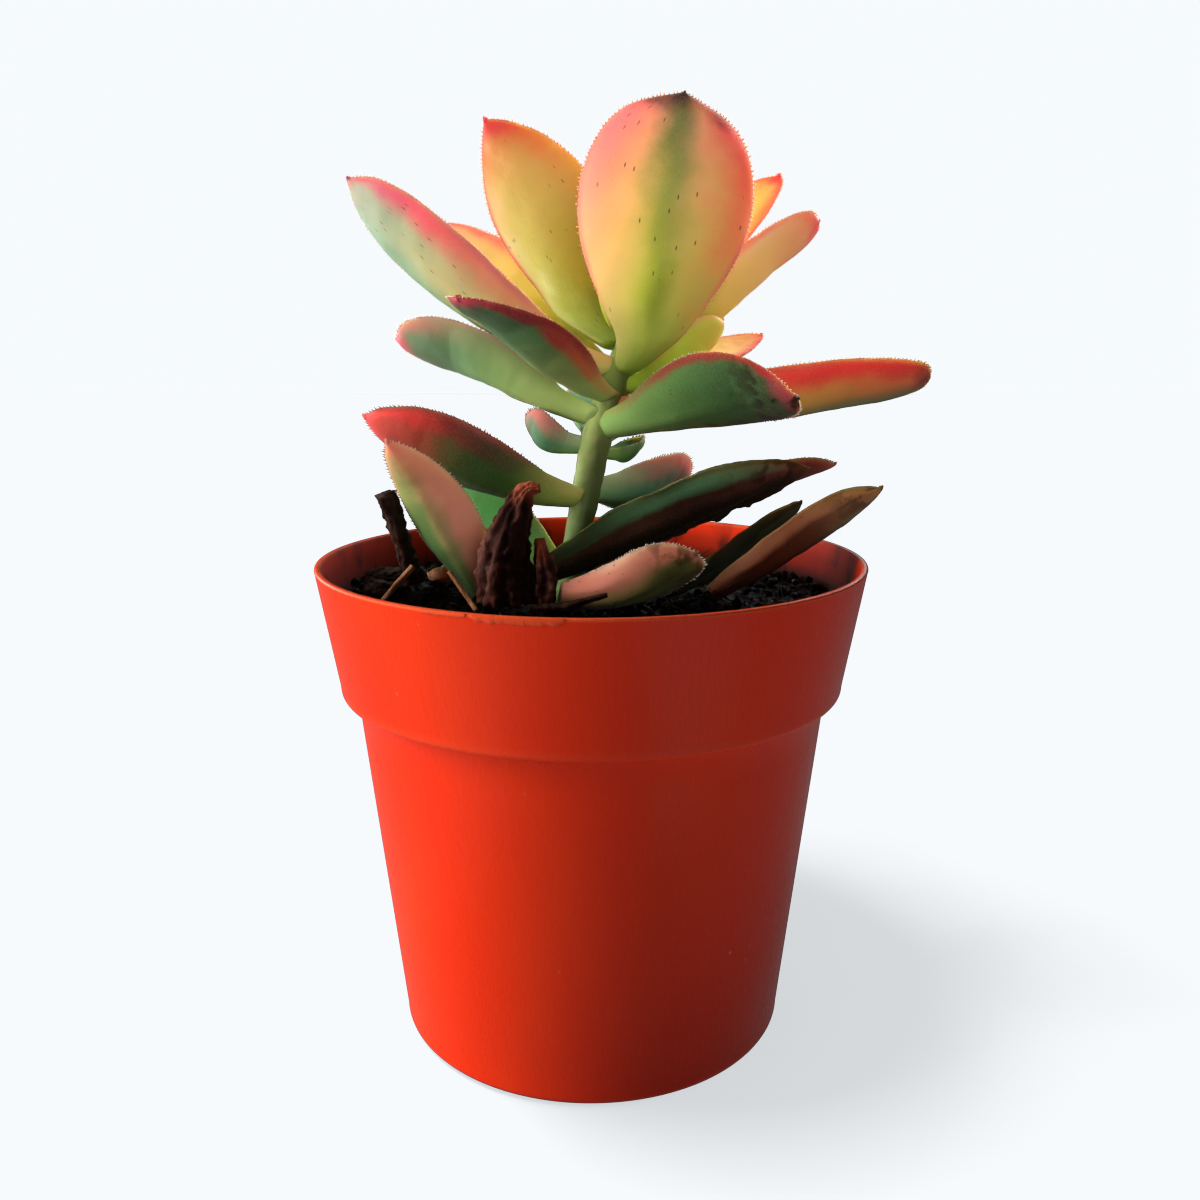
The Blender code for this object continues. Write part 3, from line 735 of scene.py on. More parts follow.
def smooth_line(corners, steps):
    """Evenly spaced (middle, radius) stations on a smooth curve through corners of x, y, z, radius."""
    rows = [np.array(corner, dtype=float) for corner in corners]
    rows = [2 * rows[0] - rows[1]] + rows + [2 * rows[-1] - rows[-2]]
    stations = []
    for index in range(1, len(rows) - 2):
        a, b, c, d = rows[index - 1: index + 3]
        for step in range(steps):
            t = step / steps
            bend = (2 * a - 5 * b + 4 * c - d) * t**2
            turn = (3 * b - a - 3 * c + d) * t**3
            spot = 0.5 * (2 * b + (c - a) * t + bend + turn)
            stations.append((Vector(spot[:3]), float(spot[3])))
    stations.append((Vector(rows[-2][:3]), float(rows[-2][3])))
    return stations


# %% Stem material and mesh
def stem_skin():
    """Grey-green skin, paler towards the crown, with fine scars along it."""
    look = Mixer("stem_skin", roughness=0.5, Specular_IOR_Level=0.4, Subsurface_Weight=0.15,
                 Subsurface_Radius=(0.8, 1.0, 0.4), Subsurface_Scale=0.002)
    color = look.ramp(look.attribute("along"), [(0.0, tint(60, 62, 34)), (0.3, tint(98, 136, 76)),
                                                (0.55, tint(160, 176, 112)), (1.0, tint(186, 202, 100))])
    color = look.mix(look.times(look.attribute("scar"), 0.25), color, tint(190, 186, 140))
    streaks = look.span(look.noise(330.0, 4.0, look.place((1.0, 1.0, 0.25))), 0.48, 0.68)
    color = look.mix(look.times(streaks, 0.45), color, tint(104, 116, 66))
    return look.done(color, look.bump(look.noise(900.0, 4.0), 0.25, 0.0003))


SCARS = (76.0, 80.5, 85.5, 88.5, 93.0, 96.5, 99.5)
STEM_FOOT = 60.0
STEM_TOP = 119.0
STEM_STEPS = 240
STEM_SIDES = 36
SCAR_WIDTH = 0.45
SCAR_SWELLING = 0.05
stations, along, scars = [], [], []
for step in range(STEM_STEPS + 1):
    height = STEM_FOOT + (STEM_TOP - STEM_FOOT) * step / STEM_STEPS
    middle, radius = stem_at(height)
    scar = max(math.exp(-((height - place) / SCAR_WIDTH) ** 2) for place in SCARS)
    taper = min(1.0, (STEM_TOP - height) / 3.0 + 0.15)
    stations.append((middle, (radius * 0.985 + SCAR_SWELLING * scar) * taper ** 0.5))
    along += [(height - STEM_FOOT) / (STEM_TOP - STEM_FOOT)] * STEM_SIDES
    scars += [scar] * STEM_SIDES
stem_points = tube_points(stations, STEM_SIDES, 0.05, 2.5)
make_piece("stem_bark", stem_points, skin((len(stations), STEM_SIDES)), stem_skin(), "stem",
           {"along": along, "scar": scars})
print("stem of", len(stations), "rings")

# %% Roots
def root_wood():
    """Pale brown woody root."""
    look = Mixer("root_wood", roughness=0.85)
    grain = look.noise(700.0, 5.0)
    return look.done(look.mix(grain, tint(96, 70, 46), tint(168, 136, 98)), look.bump(grain, 0.5, 0.0003))


SIDE_ROOTS = 14
ROOT_SIDES = 12
ROOT_SHARES = (0.0, 0.35, 0.7, 1.0)
root_lines = [((-5.2, 0, 59, 1.9), (-5.8, 1, 50, 1.6), (-4.6, 0, 38, 1.1), (-6.4, -1, 24, 0.4))]
for side in range(SIDE_ROOTS):
    turn = math.radians(GOLDEN_ANGLE * side)
    start = 56.0 - 1.9 * side
    reach = 20.0 + 5.0 * math.sin(side * 1.7)
    drop = 14.0 + 4.0 * math.cos(side)
    corners = []
    for share in ROOT_SHARES:
        x = -5.4 + reach * share * math.cos(turn)
        y = reach * share * math.sin(turn)
        corners.append((x, y, start - drop * share**1.6, 0.8 * (1.0 - 0.75 * share)))
    root_lines.append(corners)
points, faces = [], []
for seed, corners in enumerate(root_lines):
    base = len(points)
    stations = smooth_line(corners, ROOT_SIDES)
    points += tube_points(stations, ROOT_SIDES, 0.25, 1.5, seed=seed)
    faces += shifted(skin((len(stations), ROOT_SIDES)), base)
make_piece("root_ball", points, faces, root_wood(), "roots")
print("one tap root and", SIDE_ROOTS, "side roots")

# %% [markdown]
# ## Leaves
# Every leaf is one recipe: a line bent between its foot and its tip, and round it a section that is
# flat above, rounded below and thin at its edges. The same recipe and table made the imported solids,
# so each fine leaf lies over its solid. This version has many more rings, a keel, and a row of soft
# bristles along both edges, which this family of plants is known for.

# %% Leaf recipe
Leaf = namedtuple("Leaf", "name root tip width thick arch sway roll twist cup waist peak point blunt",
                  defaults=(3.0, 3.0, 0.0, 0.0, 0.0, 1.0, 0.35, 0.62, 0.75, 24))
GAP = 0.3
LEAF_RINGS = 110
LEAF_AROUND = 44
SHEATH_REACH = 0.14  # the share of a leaf's length over which its foot runs on into the stem
KEEL_DEPTH = 0.12
KEEL_WIDTH = 0.16
SIDE_LEAN = 0.35  # a leaf whose left side leans more than this has an upper and a lower edge


def leaf_root(leaf):
    """The middle of a leaf's foot: at its own point, or just clear of the stem at its height."""
    if isinstance(leaf.root, tuple):
        return Vector(leaf.root)
    center, radius = stem_at(leaf.root)
    reach = Vector(leaf.tip) - center
    outward = Vector((reach.x, reach.y, 0.0)).normalized()
    steepness = reach.normalized().z
    spare = 0.4 * leaf.thick * steepness
    spare += leaf.waist * leaf.width / 2 * abs(math.sin(math.radians(leaf.roll))) * steepness
    return center + outward * (radius + GAP + spare)


def leaf_breadth(leaf, along):
    """The half width of a leaf at a fraction of its length."""
    if along < leaf.peak:
        share = leaf.waist + (1 - leaf.waist) * math.sin(math.pi / 2 * along / leaf.peak) ** 1.2
    else:
        past = (along - leaf.peak) / (1 - leaf.peak)
        share = max(0.0, 1 - past**2) ** leaf.point * (1 - past**leaf.blunt)
    return leaf.width / 2 * share


def leaf_depth(leaf, along):
    """The thickness of a leaf at a fraction of its length."""
    return leaf.thick * (0.6 + 0.4 * math.sin(math.pi * min(1.0, along * 1.4))) * (1 - along**4) ** 0.5


def leaf_frame(leaf, root, along):
    """The middle line's point, and the leaf's left, its upper side and its heading there."""
    tip = Vector(leaf.tip)
    chord = (tip - root).normalized()
    up = Vector((0, 0, 1)) - chord * chord.z
    up = Quaternion(chord, math.radians(leaf.roll)) @ up.normalized()
    left = up.cross(chord)
    handle = (root + tip) / 2 - up * leaf.arch * 2 + left * leaf.sway * 2
    point = root.lerp(handle, along).lerp(handle.lerp(tip, along), along)
    tangent = ((handle - root).lerp(tip - handle, along)).normalized()
    upper = (up - tangent * up.dot(tangent)).normalized()
    upper = Quaternion(tangent, math.radians(leaf.twist * along)) @ upper
    return point, upper.cross(tangent), upper, tangent


class LeafMesh:
    """Collects a leaf's points and faces with the values that its finish reads."""

    def __init__(self):
        self.points, self.faces = [], []
        self.values = {"along": [], "across": [], "inset": [], "upper": [], "bristle": []}

    def add(self, point, along, across, inset, upper, bristle=0.0):
        self.points.append(point)
        for label, number in zip(self.values, (along, across, inset, upper, bristle)):
            self.values[label].append(number)


def leaf_body(mesh, leaf, ragged, wrinkles):
    """The fleshy blade. Its foot runs on into the stem; ragged tears and wrinkles suit old leaves."""
    root = leaf_root(leaf)
    sheath = Vector((0, 0, 0))
    if not isinstance(leaf.root, tuple):
        center, radius = stem_at(leaf.root)
        sheath = (center - root) * 0.75
    middle_left = leaf_frame(leaf, root, 0.5)[1]
    lean = middle_left.z if abs(middle_left.z) > SIDE_LEAN else middle_left.x
    flip = 1.0 if lean > 0 else -1.0
    length = (Vector(leaf.tip) - root).length
    seed = Vector((sum(map(ord, leaf.name)) % 97, 3.0, 7.0))
    for ring in range(LEAF_RINGS):
        along = (ring / LEAF_RINGS) ** 0.85
        point, left, upper, _ = leaf_frame(leaf, root, along)
        point = point + sheath * max(0.0, 1 - along / SHEATH_REACH) ** 1.5
        breadth, depth = leaf_breadth(leaf, along), leaf_depth(leaf, along)
        for step in range(LEAF_AROUND):
            angle = math.tau * step / LEAF_AROUND
            across, height = math.cos(angle), math.sin(angle)
            # Dished as a whole, nearly flat above, and rounded with a keel below.
            lift = leaf.cup * (across**2 - 0.5) * breadth / (leaf.width / 2)
            if height < 0:
                lift -= depth * abs(height) ** 1.35
                ridge = math.exp(-(across / KEEL_WIDTH) ** 2) * math.sin(math.pi * along)
                lift -= KEEL_DEPTH * depth * ridge
            else:
                lift += 0.22 * depth * height ** 1.2
            spot = point + left * breadth * across + upper * lift
            # Slow swells, a fine unevenness and folds keep the skin from looking machined.
            swell = noise.noise(spot / 5.0 + seed) * 0.28 + noise.noise(spot / 1.6 + seed) * 0.07
            broad_fold = noise.noise(Vector((across * 3.2, along * 2.0, seed.x)))
            narrow_fold = noise.noise(Vector((across * 8.0, along * 5.0, seed.x)))
            fold = broad_fold + 0.5 * narrow_fold
            spot = spot + upper * (swell + wrinkles * fold * min(1.0, 4 * (1 - along)))
            # Only the lower or left edge is torn; the other one frays a little.
            frayed = ragged if across * flip < 0 else 0.1 * ragged
            broad_tear = noise.noise(Vector((along * 9.0, across, seed.x)))
            narrow_tear = noise.noise(Vector((along * 31.0, across, seed.x)))
            tear = frayed * broad_tear + 0.5 * frayed * narrow_tear
            spot = spot - left * across * abs(across) ** 6 * min(abs(tear), breadth * 0.7)
            inset = min(breadth * (1 - abs(across)) + 0.3 * abs(height), length * (1 - along))
            mesh.add(spot, along, across * flip, inset, height)
    mesh.faces += skin((LEAF_RINGS, LEAF_AROUND), (True, False))
    tip = len(mesh.points)
    mesh.add(leaf_frame(leaf, root, 1.0)[0], 1.0, 0.0, 0.0, 0.0)
    last = (LEAF_RINGS - 1) * LEAF_AROUND
    mesh.faces += [(last + step, last + (step + 1) % LEAF_AROUND, tip) for step in range(LEAF_AROUND)]
    return flip


BRISTLE_START = 0.16
BRISTLE_RADIUS = 0.14


def leaf_bristles(mesh, leaf, flip, size=0.62, spacing=0.62):
    """Soft teeth along both edges, each a small cone that leans towards the tip."""
    root = leaf_root(leaf)
    length = (Vector(leaf.tip) - root).length
    dice = random.Random(leaf.name)
    for side in (1, -1):
        travelled = BRISTLE_START * length
        while travelled < length * 0.995:
            along = travelled / length
            point, left, upper, ahead = leaf_frame(leaf, root, along)
            breadth = leaf_breadth(leaf, along)
            lift = leaf.cup * 0.5 * breadth / (leaf.width / 2)
            foot = point + left * side * (breadth - 0.12) + upper * lift
            slope = (leaf_breadth(leaf, min(1.0, along + 0.01)) - breadth) / (0.01 * length)
            outward = (left * side - ahead * slope).normalized()
            spread = Vector([dice.uniform(-0.25, 0.25) for _ in range(3)])
            heading = (outward + ahead * dice.uniform(0.15, 0.6) + spread).normalized()
            first = heading.cross(upper).normalized()
            second = heading.cross(first)
            grown = size * dice.uniform(0.55, 1.15) * min(1.0, 0.45 + along)
            base = len(mesh.points)
            for corner in range(4):
                angle = math.tau * corner / 4
                wide = BRISTLE_RADIUS * (first * math.cos(angle) + second * math.sin(angle))
                mesh.add(foot + wide, along, side * flip, 0.0, 0.0, 0.3)
            mesh.add(foot + heading * grown, along, side * flip, 0.0, 0.0, 1.0)
            mesh.faces += [(base + corner, base + (corner + 1) % 4, base + 4) for corner in range(4)]
            mesh.faces.append((base + 3, base + 2, base + 1, base))
            travelled += spacing * dice.uniform(0.7, 1.3) * max(0.25, (1 + slope**2) ** -0.5)


POINT_RINGS = 6
POINT_SIDES = 8


def leaf_point(mesh, leaf, size):
    """The small hard point at a leaf's tip."""
    root = leaf_root(leaf)
    point, left, upper, ahead = leaf_frame(leaf, root, 0.985)
    base = len(mesh.points)
    for ring in range(POINT_RINGS):
        share = ring / POINT_RINGS
        radius = 0.55 * size * (1 - share) ** 0.8
        middle = point + ahead * size * 0.9 * share + upper * 0.2 * share**2
        for corner in range(POINT_SIDES):
            angle = math.tau * corner / POINT_SIDES
            out = left * math.cos(angle) + upper * math.sin(angle)
            mesh.add(middle + out * radius, 1.0, 0.0, 0.0, 0.0)
    mesh.faces += shifted(skin((POINT_RINGS, POINT_SIDES)), base)


print("leaf recipe ready:", LEAF_RINGS, "rings of", LEAF_AROUND)

# %% [markdown]
# Leaves colour from the edge inwards when they get strong sun, and each leaf is at another stage.
# So a finish is a few plain rows of colour from foot to tip: the blade, the upper or right edge, the
# lower or left edge, and the stripe over the keel. Noise breaks the seams between them. Fine waxy
# grain, dark flecks and pale bristle tips are common to all.

# %% Leaf finish
PALE_TEETH = (250, 214, 200)
Finish = namedtuple(
    "Finish",
    "blade high low stripe high_reach low_reach stripe_width soft rim tip teeth flecks blotch rough",
    defaults=(None, None, None, 0.5, 0.5, 0.25, 0.8, None, None, PALE_TEETH, 0.5, 0.0, 0.5))
WAX_SHINE = 0.28


def row(look, along, colors):
    """Evenly spaced colours from a leaf's foot to its tip."""
    if len(colors) == 1:
        return tint(*colors[0])
    last = len(colors) - 1
    return look.ramp(along, [(index / last, tint(*color)) for index, color in enumerate(colors)])


def leaf_skin(name, finish):
    """The finish of one leaf or of a group of leaves."""
    look = Mixer(name, roughness=finish.rough, Specular_IOR_Level=WAX_SHINE, Sheen_Weight=0.04,
                 Sheen_Roughness=0.4, Subsurface_Weight=0.4, Subsurface_Radius=(1.0, 0.7, 0.25),
                 Subsurface_Scale=0.003)
    # Soft patches shift the seams between the colours.
    patches = look.noise(170.0, 4.0)
    drift = look.times(look.math("SUBTRACT", patches, 0.5), 0.5)
    along = look.plus(look.attribute("along"), look.times(drift, 0.35))
    across = look.plus(look.attribute("across"), drift)
    color = row(look, along, finish.blade)
    # The stripe over the keel, stronger below, is partly the keel's greener skin and partly painted shade
    # on the half of the leaf turned from the light.
    if finish.stripe:
        near = look.span(look.math("ABSOLUTE", across), 0.0, finish.stripe_width * 2, 1.0, 0.0)
        near = look.times(near, look.span(along, 0.05, 0.3))
        below = look.span(look.attribute("upper"), -0.2, 0.2, 1.0, 0.35)
        color = look.mix(look.times(near, below), color, row(look, along, finish.stripe))
    edges = ((finish.high, finish.high_reach, 1.0), (finish.low, finish.low_reach, -1.0))
    for colors, reach, side in edges:
        if colors:
            begin = 1.0 - 2.0 * reach
            share = look.span(look.times(across, side), begin, begin + 2.0 * reach * finish.soft)
            color = look.mix(share, color, row(look, along, colors))
    if finish.rim:
        inset = look.plus(look.attribute("inset"), look.times(drift, 2.0))
        near = look.times(look.span(inset, 0.1, 1.1, 1.0, 0.0), look.span(along, 0.12, 0.4))
        color = look.mix(look.times(near, 0.8), color, tint(*finish.rim))
    if finish.tip:
        near = look.span(along, 0.9, 1.0)
        color = look.mix(near, color, tint(*finish.tip))
    # Pale waxy grain.
    fine = look.noise(5200.0, 2.0)
    color = look.mix(look.span(fine, 0.35, 0.75, 0.0, 0.06), color, tint(250, 240, 215))
    # Short dark flecks lie along the leaf, in loose groups.
    spread = look.node("ShaderNodeCombineXYZ")
    look.plug(look.attribute("across"), spread.inputs[0])
    look.plug(look.attribute("along"), spread.inputs[1])
    dashes = look.span(look.cells(6.5, spread.outputs[0], flat=True), 0.035, 0.075, 0.85, 0.0)
    group_edge = 0.66 - 0.12 * finish.flecks
    groups = look.span(look.noise(95.0, 2.0, seed=9.0), group_edge, group_edge + 0.04)
    color = look.mix(look.times(dashes, groups), color, tint(70, 42, 22))
    # Dark mould eats into the tip and the lower edge of a worn leaf.
    if finish.blotch:
        low_edge = look.span(across, -0.75, -0.3, 1.0, 0.0)
        worn = look.math("MAXIMUM", look.span(along, 0.6, 0.95), low_edge)
        worn = look.times(worn, look.span(look.noise(330.0, 5.0, seed=4.0), 0.47, 0.58))
        color = look.mix(look.times(worn, finish.blotch), color, tint(38, 26, 18))
    bristle = look.attribute("bristle")
    color = look.mix(look.span(bristle, 0.2, 0.8, 0.0, 0.85), color, tint(*finish.teeth))
    grain = look.bump(look.noise(3800.0, 2.0), 0.22, 0.00012)
    normal = look.bump(look.noise(420.0, 4.0), 0.12, 0.0005, grain)
    rough = look.span(patches, 0.3, 0.7, finish.rough - 0.06, finish.rough + 0.08)
    return look.done(color, normal, rough)


FINISHES = {
    # The olive stripe, darkening towards the tip, is partly the keel's own green and partly painted shade.
    "crown_front": Finish(
        blade=[(146, 184, 62), (206, 202, 84), (232, 196, 92), (236, 182, 104), (240, 150, 120)],
        high=[(152, 180, 60), (222, 186, 84), (240, 148, 86), (244, 92, 76), (238, 66, 84)],
        low=[(168, 194, 92), (224, 190, 112), (236, 160, 118), (242, 116, 116), (240, 84, 108)],
        stripe=[(138, 172, 48), (152, 166, 30), (176, 176, 56), (146, 144, 56), (84, 76, 44)],
        high_reach=0.36, low_reach=0.46, stripe_width=0.24, soft=1.0, rim=(244, 92, 108), tip=(60, 40, 40),
        teeth=(246, 120, 130), flecks=1.3),
    "crown_sunrise": Finish(
        blade=[(150, 182, 46), (182, 188, 48), (212, 208, 84), (226, 212, 108), (232, 200, 104),
               (240, 100, 64)],
        high=[(140, 170, 36), (158, 164, 18), (196, 188, 66), (222, 194, 84), (236, 132, 64),
              (232, 50, 52)],
        low=[(190, 206, 104), (214, 210, 122), (228, 208, 128), (238, 180, 120), (244, 92, 90)],
        high_reach=0.36, low_reach=0.25, soft=1.0, rim=(244, 104, 92), tip=(236, 66, 80),
        teeth=(244, 110, 110), flecks=0.9),
    "crown_yellow": Finish(
        blade=[(146, 186, 44), (190, 190, 34), (228, 200, 70), (242, 196, 92), (246, 140, 74)],
        high=[(160, 190, 60), (206, 190, 50), (244, 186, 76), (248, 112, 62), (238, 64, 58)],
        low=[(186, 206, 96), (220, 210, 100), (240, 204, 100), (246, 150, 92), (246, 80, 76)],
        high_reach=0.4, low_reach=0.3, soft=1.0, rim=(246, 96, 88), tip=(226, 60, 66),
        teeth=(244, 110, 110), flecks=0.4),
    "crown_peach": Finish(
        blade=[(196, 200, 66), (222, 204, 80), (240, 206, 104), (246, 208, 130), (246, 150, 118)],
        high=[(204, 196, 76), (236, 188, 96), (246, 150, 108), (248, 104, 98), (246, 86, 96)],
        low=[(196, 200, 84), (226, 206, 100), (242, 208, 128), (246, 198, 156), (246, 120, 116)],
        high_reach=0.42, low_reach=0.2, soft=1.0, rim=(246, 106, 108), tip=(240, 92, 98),
        teeth=(246, 140, 140), flecks=0.35),
    "bud": Finish(
        blade=[(150, 186, 44), (190, 202, 44), (206, 206, 62), (216, 198, 88)], rim=(230, 160, 100),
        teeth=(240, 190, 140), flecks=0.1),
    "rose_edge": Finish(
        blade=[(196, 192, 100), (214, 186, 108), (196, 176, 118), (158, 172, 134), (166, 172, 156)],
        high=[(222, 180, 92), (230, 164, 108), (236, 122, 100), (238, 76, 102), (186, 110, 134)],
        low=[(150, 176, 106), (132, 166, 108), (122, 160, 116), (126, 164, 136), (150, 172, 158)],
        high_reach=0.36, low_reach=0.58, soft=0.9, rim=(206, 104, 110), tip=(170, 70, 92), flecks=1.0,
        rough=0.55),
    "crimson_left": Finish(
        blade=[(158, 196, 110), (150, 160, 84), (80, 116, 62), (58, 100, 58), (60, 86, 58)],
        high=[(166, 176, 90), (210, 96, 54), (176, 56, 40), (110, 28, 30), (140, 24, 42)],
        low=[(176, 204, 126), (134, 166, 96), (78, 122, 72), (66, 104, 68), (76, 72, 58)],
        high_reach=0.2, low_reach=0.3, soft=0.6, rim=(120, 22, 32), tip=(170, 40, 62),
        teeth=(232, 160, 150), flecks=0.8, blotch=0.3),
    "crimson_edge": Finish(
        blade=[(142, 178, 98), (98, 136, 66), (64, 104, 50), (56, 92, 48), (48, 56, 34)],
        high=[(150, 168, 88), (128, 110, 62), (120, 50, 40), (136, 20, 30), (156, 26, 42)],
        low=[(150, 180, 102), (104, 136, 68), (62, 96, 44), (48, 74, 36), (36, 36, 22)],
        high_reach=0.1, low_reach=0.34, soft=0.8, rim=(130, 22, 32), tip=(150, 60, 66),
        teeth=(240, 206, 196), flecks=1.0, blotch=0.95),
    "grey_green": Finish(
        blade=[(176, 200, 112), (160, 186, 106), (130, 166, 98), (106, 154, 108), (128, 142, 112)],
        high=[(176, 198, 112), (164, 186, 108), (146, 172, 108), (150, 154, 116), (222, 112, 122)],
        low=[(150, 182, 98), (118, 152, 86), (96, 140, 86), (96, 140, 104), (206, 116, 120)],
        high_reach=0.3, low_reach=0.3, rim=(190, 140, 124), tip=(226, 108, 124), flecks=0.4, rough=0.55),
    "sunset": Finish(
        blade=[(196, 170, 80), (226, 166, 78), (230, 160, 70), (218, 128, 62), (200, 80, 54)],
        high=[(232, 130, 80), (240, 92, 62), (240, 66, 52), (228, 48, 46), (180, 40, 42)],
        low=[(140, 160, 66), (136, 154, 58), (126, 148, 58), (116, 134, 62), (90, 78, 50)],
        high_reach=0.36, low_reach=0.78, rim=(190, 80, 62), tip=(110, 40, 38), flecks=0.6),
    "scarlet_edge": Finish(
        blade=[(168, 178, 80), (60, 108, 30), (36, 76, 18), (46, 66, 20), (176, 62, 50), (232, 76, 68)],
        high=[(190, 180, 90), (66, 100, 32), (64, 46, 24), (96, 34, 24), (222, 46, 46), (240, 74, 72)],
        low=[(186, 188, 100), (80, 124, 38), (42, 84, 24), (36, 70, 20), (130, 66, 44), (224, 80, 72)],
        high_reach=0.24, low_reach=0.2, soft=0.6, rim=(140, 52, 44), tip=(240, 84, 86),
        teeth=(240, 190, 180), flecks=1.0),
    "deep_green": Finish(
        blade=[(150, 178, 90), (64, 136, 56), (44, 112, 42), (50, 112, 48), (80, 120, 60)],
        high=[(150, 172, 90), (84, 140, 68), (70, 124, 60), (86, 128, 76), (146, 130, 90)],
        high_reach=0.25, rim=(126, 140, 90), flecks=0.3),
    "sea_green": Finish(
        blade=[(126, 164, 104), (86, 140, 98), (76, 128, 96), (96, 124, 96), (164, 100, 92)],
        high=[(146, 164, 112), (130, 134, 102), (180, 112, 100), (194, 92, 88), (196, 88, 88)],
        high_reach=0.34, rim=(176, 104, 92), tip=(190, 96, 94), flecks=0.4),
    "standing": Finish(
        blade=[(50, 78, 36), (104, 122, 64), (186, 148, 102), (208, 150, 108), (228, 150, 108)],
        high=[(140, 96, 70), (216, 136, 110), (232, 150, 126), (224, 150, 116), (230, 142, 110)],
        low=[(38, 66, 32), (52, 90, 42), (88, 126, 62), (150, 156, 90), (222, 150, 112)],
        high_reach=0.44, low_reach=0.6, soft=0.5, rim=(222, 156, 122), tip=(232, 122, 104),
        teeth=(250, 214, 190), flecks=0.5),
    "blush": Finish(
        blade=[(206, 132, 100), (226, 148, 116), (190, 144, 92), (100, 108, 34), (110, 104, 38)],
        high=[(216, 128, 106), (236, 146, 124), (238, 154, 126), (226, 148, 118), (200, 116, 94)],
        low=[(100, 76, 40), (90, 94, 34), (56, 70, 12), (52, 66, 12), (96, 94, 34)],
        high_reach=0.45, low_reach=0.9, soft=0.5, rim=(240, 186, 156), tip=(176, 100, 86),
        teeth=(250, 232, 222), flecks=1.6, blotch=0.7),
    # The near-black lower row is painted shade along the wilted leaf's lower side.
    "withered": Finish(
        blade=[(70, 50, 38), (96, 68, 52), (100, 68, 54), (84, 52, 40), (120, 54, 50)],
        high=[(84, 84, 52), (84, 128, 82), (96, 160, 114), (84, 138, 96), (132, 60, 54)],
        low=[(16, 12, 10), (14, 11, 9), (11, 8, 7), (9, 7, 6), (36, 18, 16)],
        high_reach=0.26, low_reach=0.74, soft=0.3, rim=(44, 30, 24), tip=(60, 28, 24), flecks=1.0,
        blotch=0.8, rough=0.6),
    "withered_tip": Finish(
        blade=[(20, 16, 12), (16, 14, 10), (30, 24, 18), (120, 56, 48), (206, 104, 98)],
        rim=(190, 96, 88), tip=(224, 116, 110), flecks=0.6),
    "fallen": Finish(
        blade=[(60, 48, 34), (108, 76, 52), (122, 84, 56), (150, 106, 66), (196, 130, 76)],
        high=[(110, 70, 50), (190, 126, 92), (206, 146, 106), (210, 158, 108), (210, 148, 92)],
        low=[(34, 40, 28), (62, 80, 60), (80, 98, 74), (112, 110, 74), (166, 116, 70)],
        high_reach=0.24, low_reach=0.62, soft=0.45, rim=(160, 108, 74), flecks=1.4, blotch=0.7, rough=0.6),
    "strip": Finish(
        blade=[(50, 62, 46), (104, 130, 106), (130, 156, 130), (108, 132, 106), (76, 76, 58)],
        high=[(40, 50, 38), (70, 90, 74), (80, 104, 86), (70, 86, 68), (50, 50, 38)],
        low=[(20, 20, 16), (44, 56, 44), (56, 70, 58), (54, 62, 48), (40, 36, 28)],
        high_reach=0.25, low_reach=0.4, soft=0.5, rim=(76, 68, 54), flecks=0.7, rough=0.55),
    "husk": Finish(
        blade=[(120, 80, 56), (190, 124, 96), (206, 140, 112), (150, 96, 66)], rim=(110, 70, 50),
        flecks=1.0),
}
skins = {name: leaf_skin("leaf_" + name, finish) for name, finish in FINISHES.items()}
print(len(skins), "leaf finishes")

# %% [markdown]
# ## The leaves, from the crown down
# The crown stands highest and gets the most light, so it is yellow and pink. The leaves below it
# reach out and stay green with dark red edges. The lowest have dropped or dried where they stand.

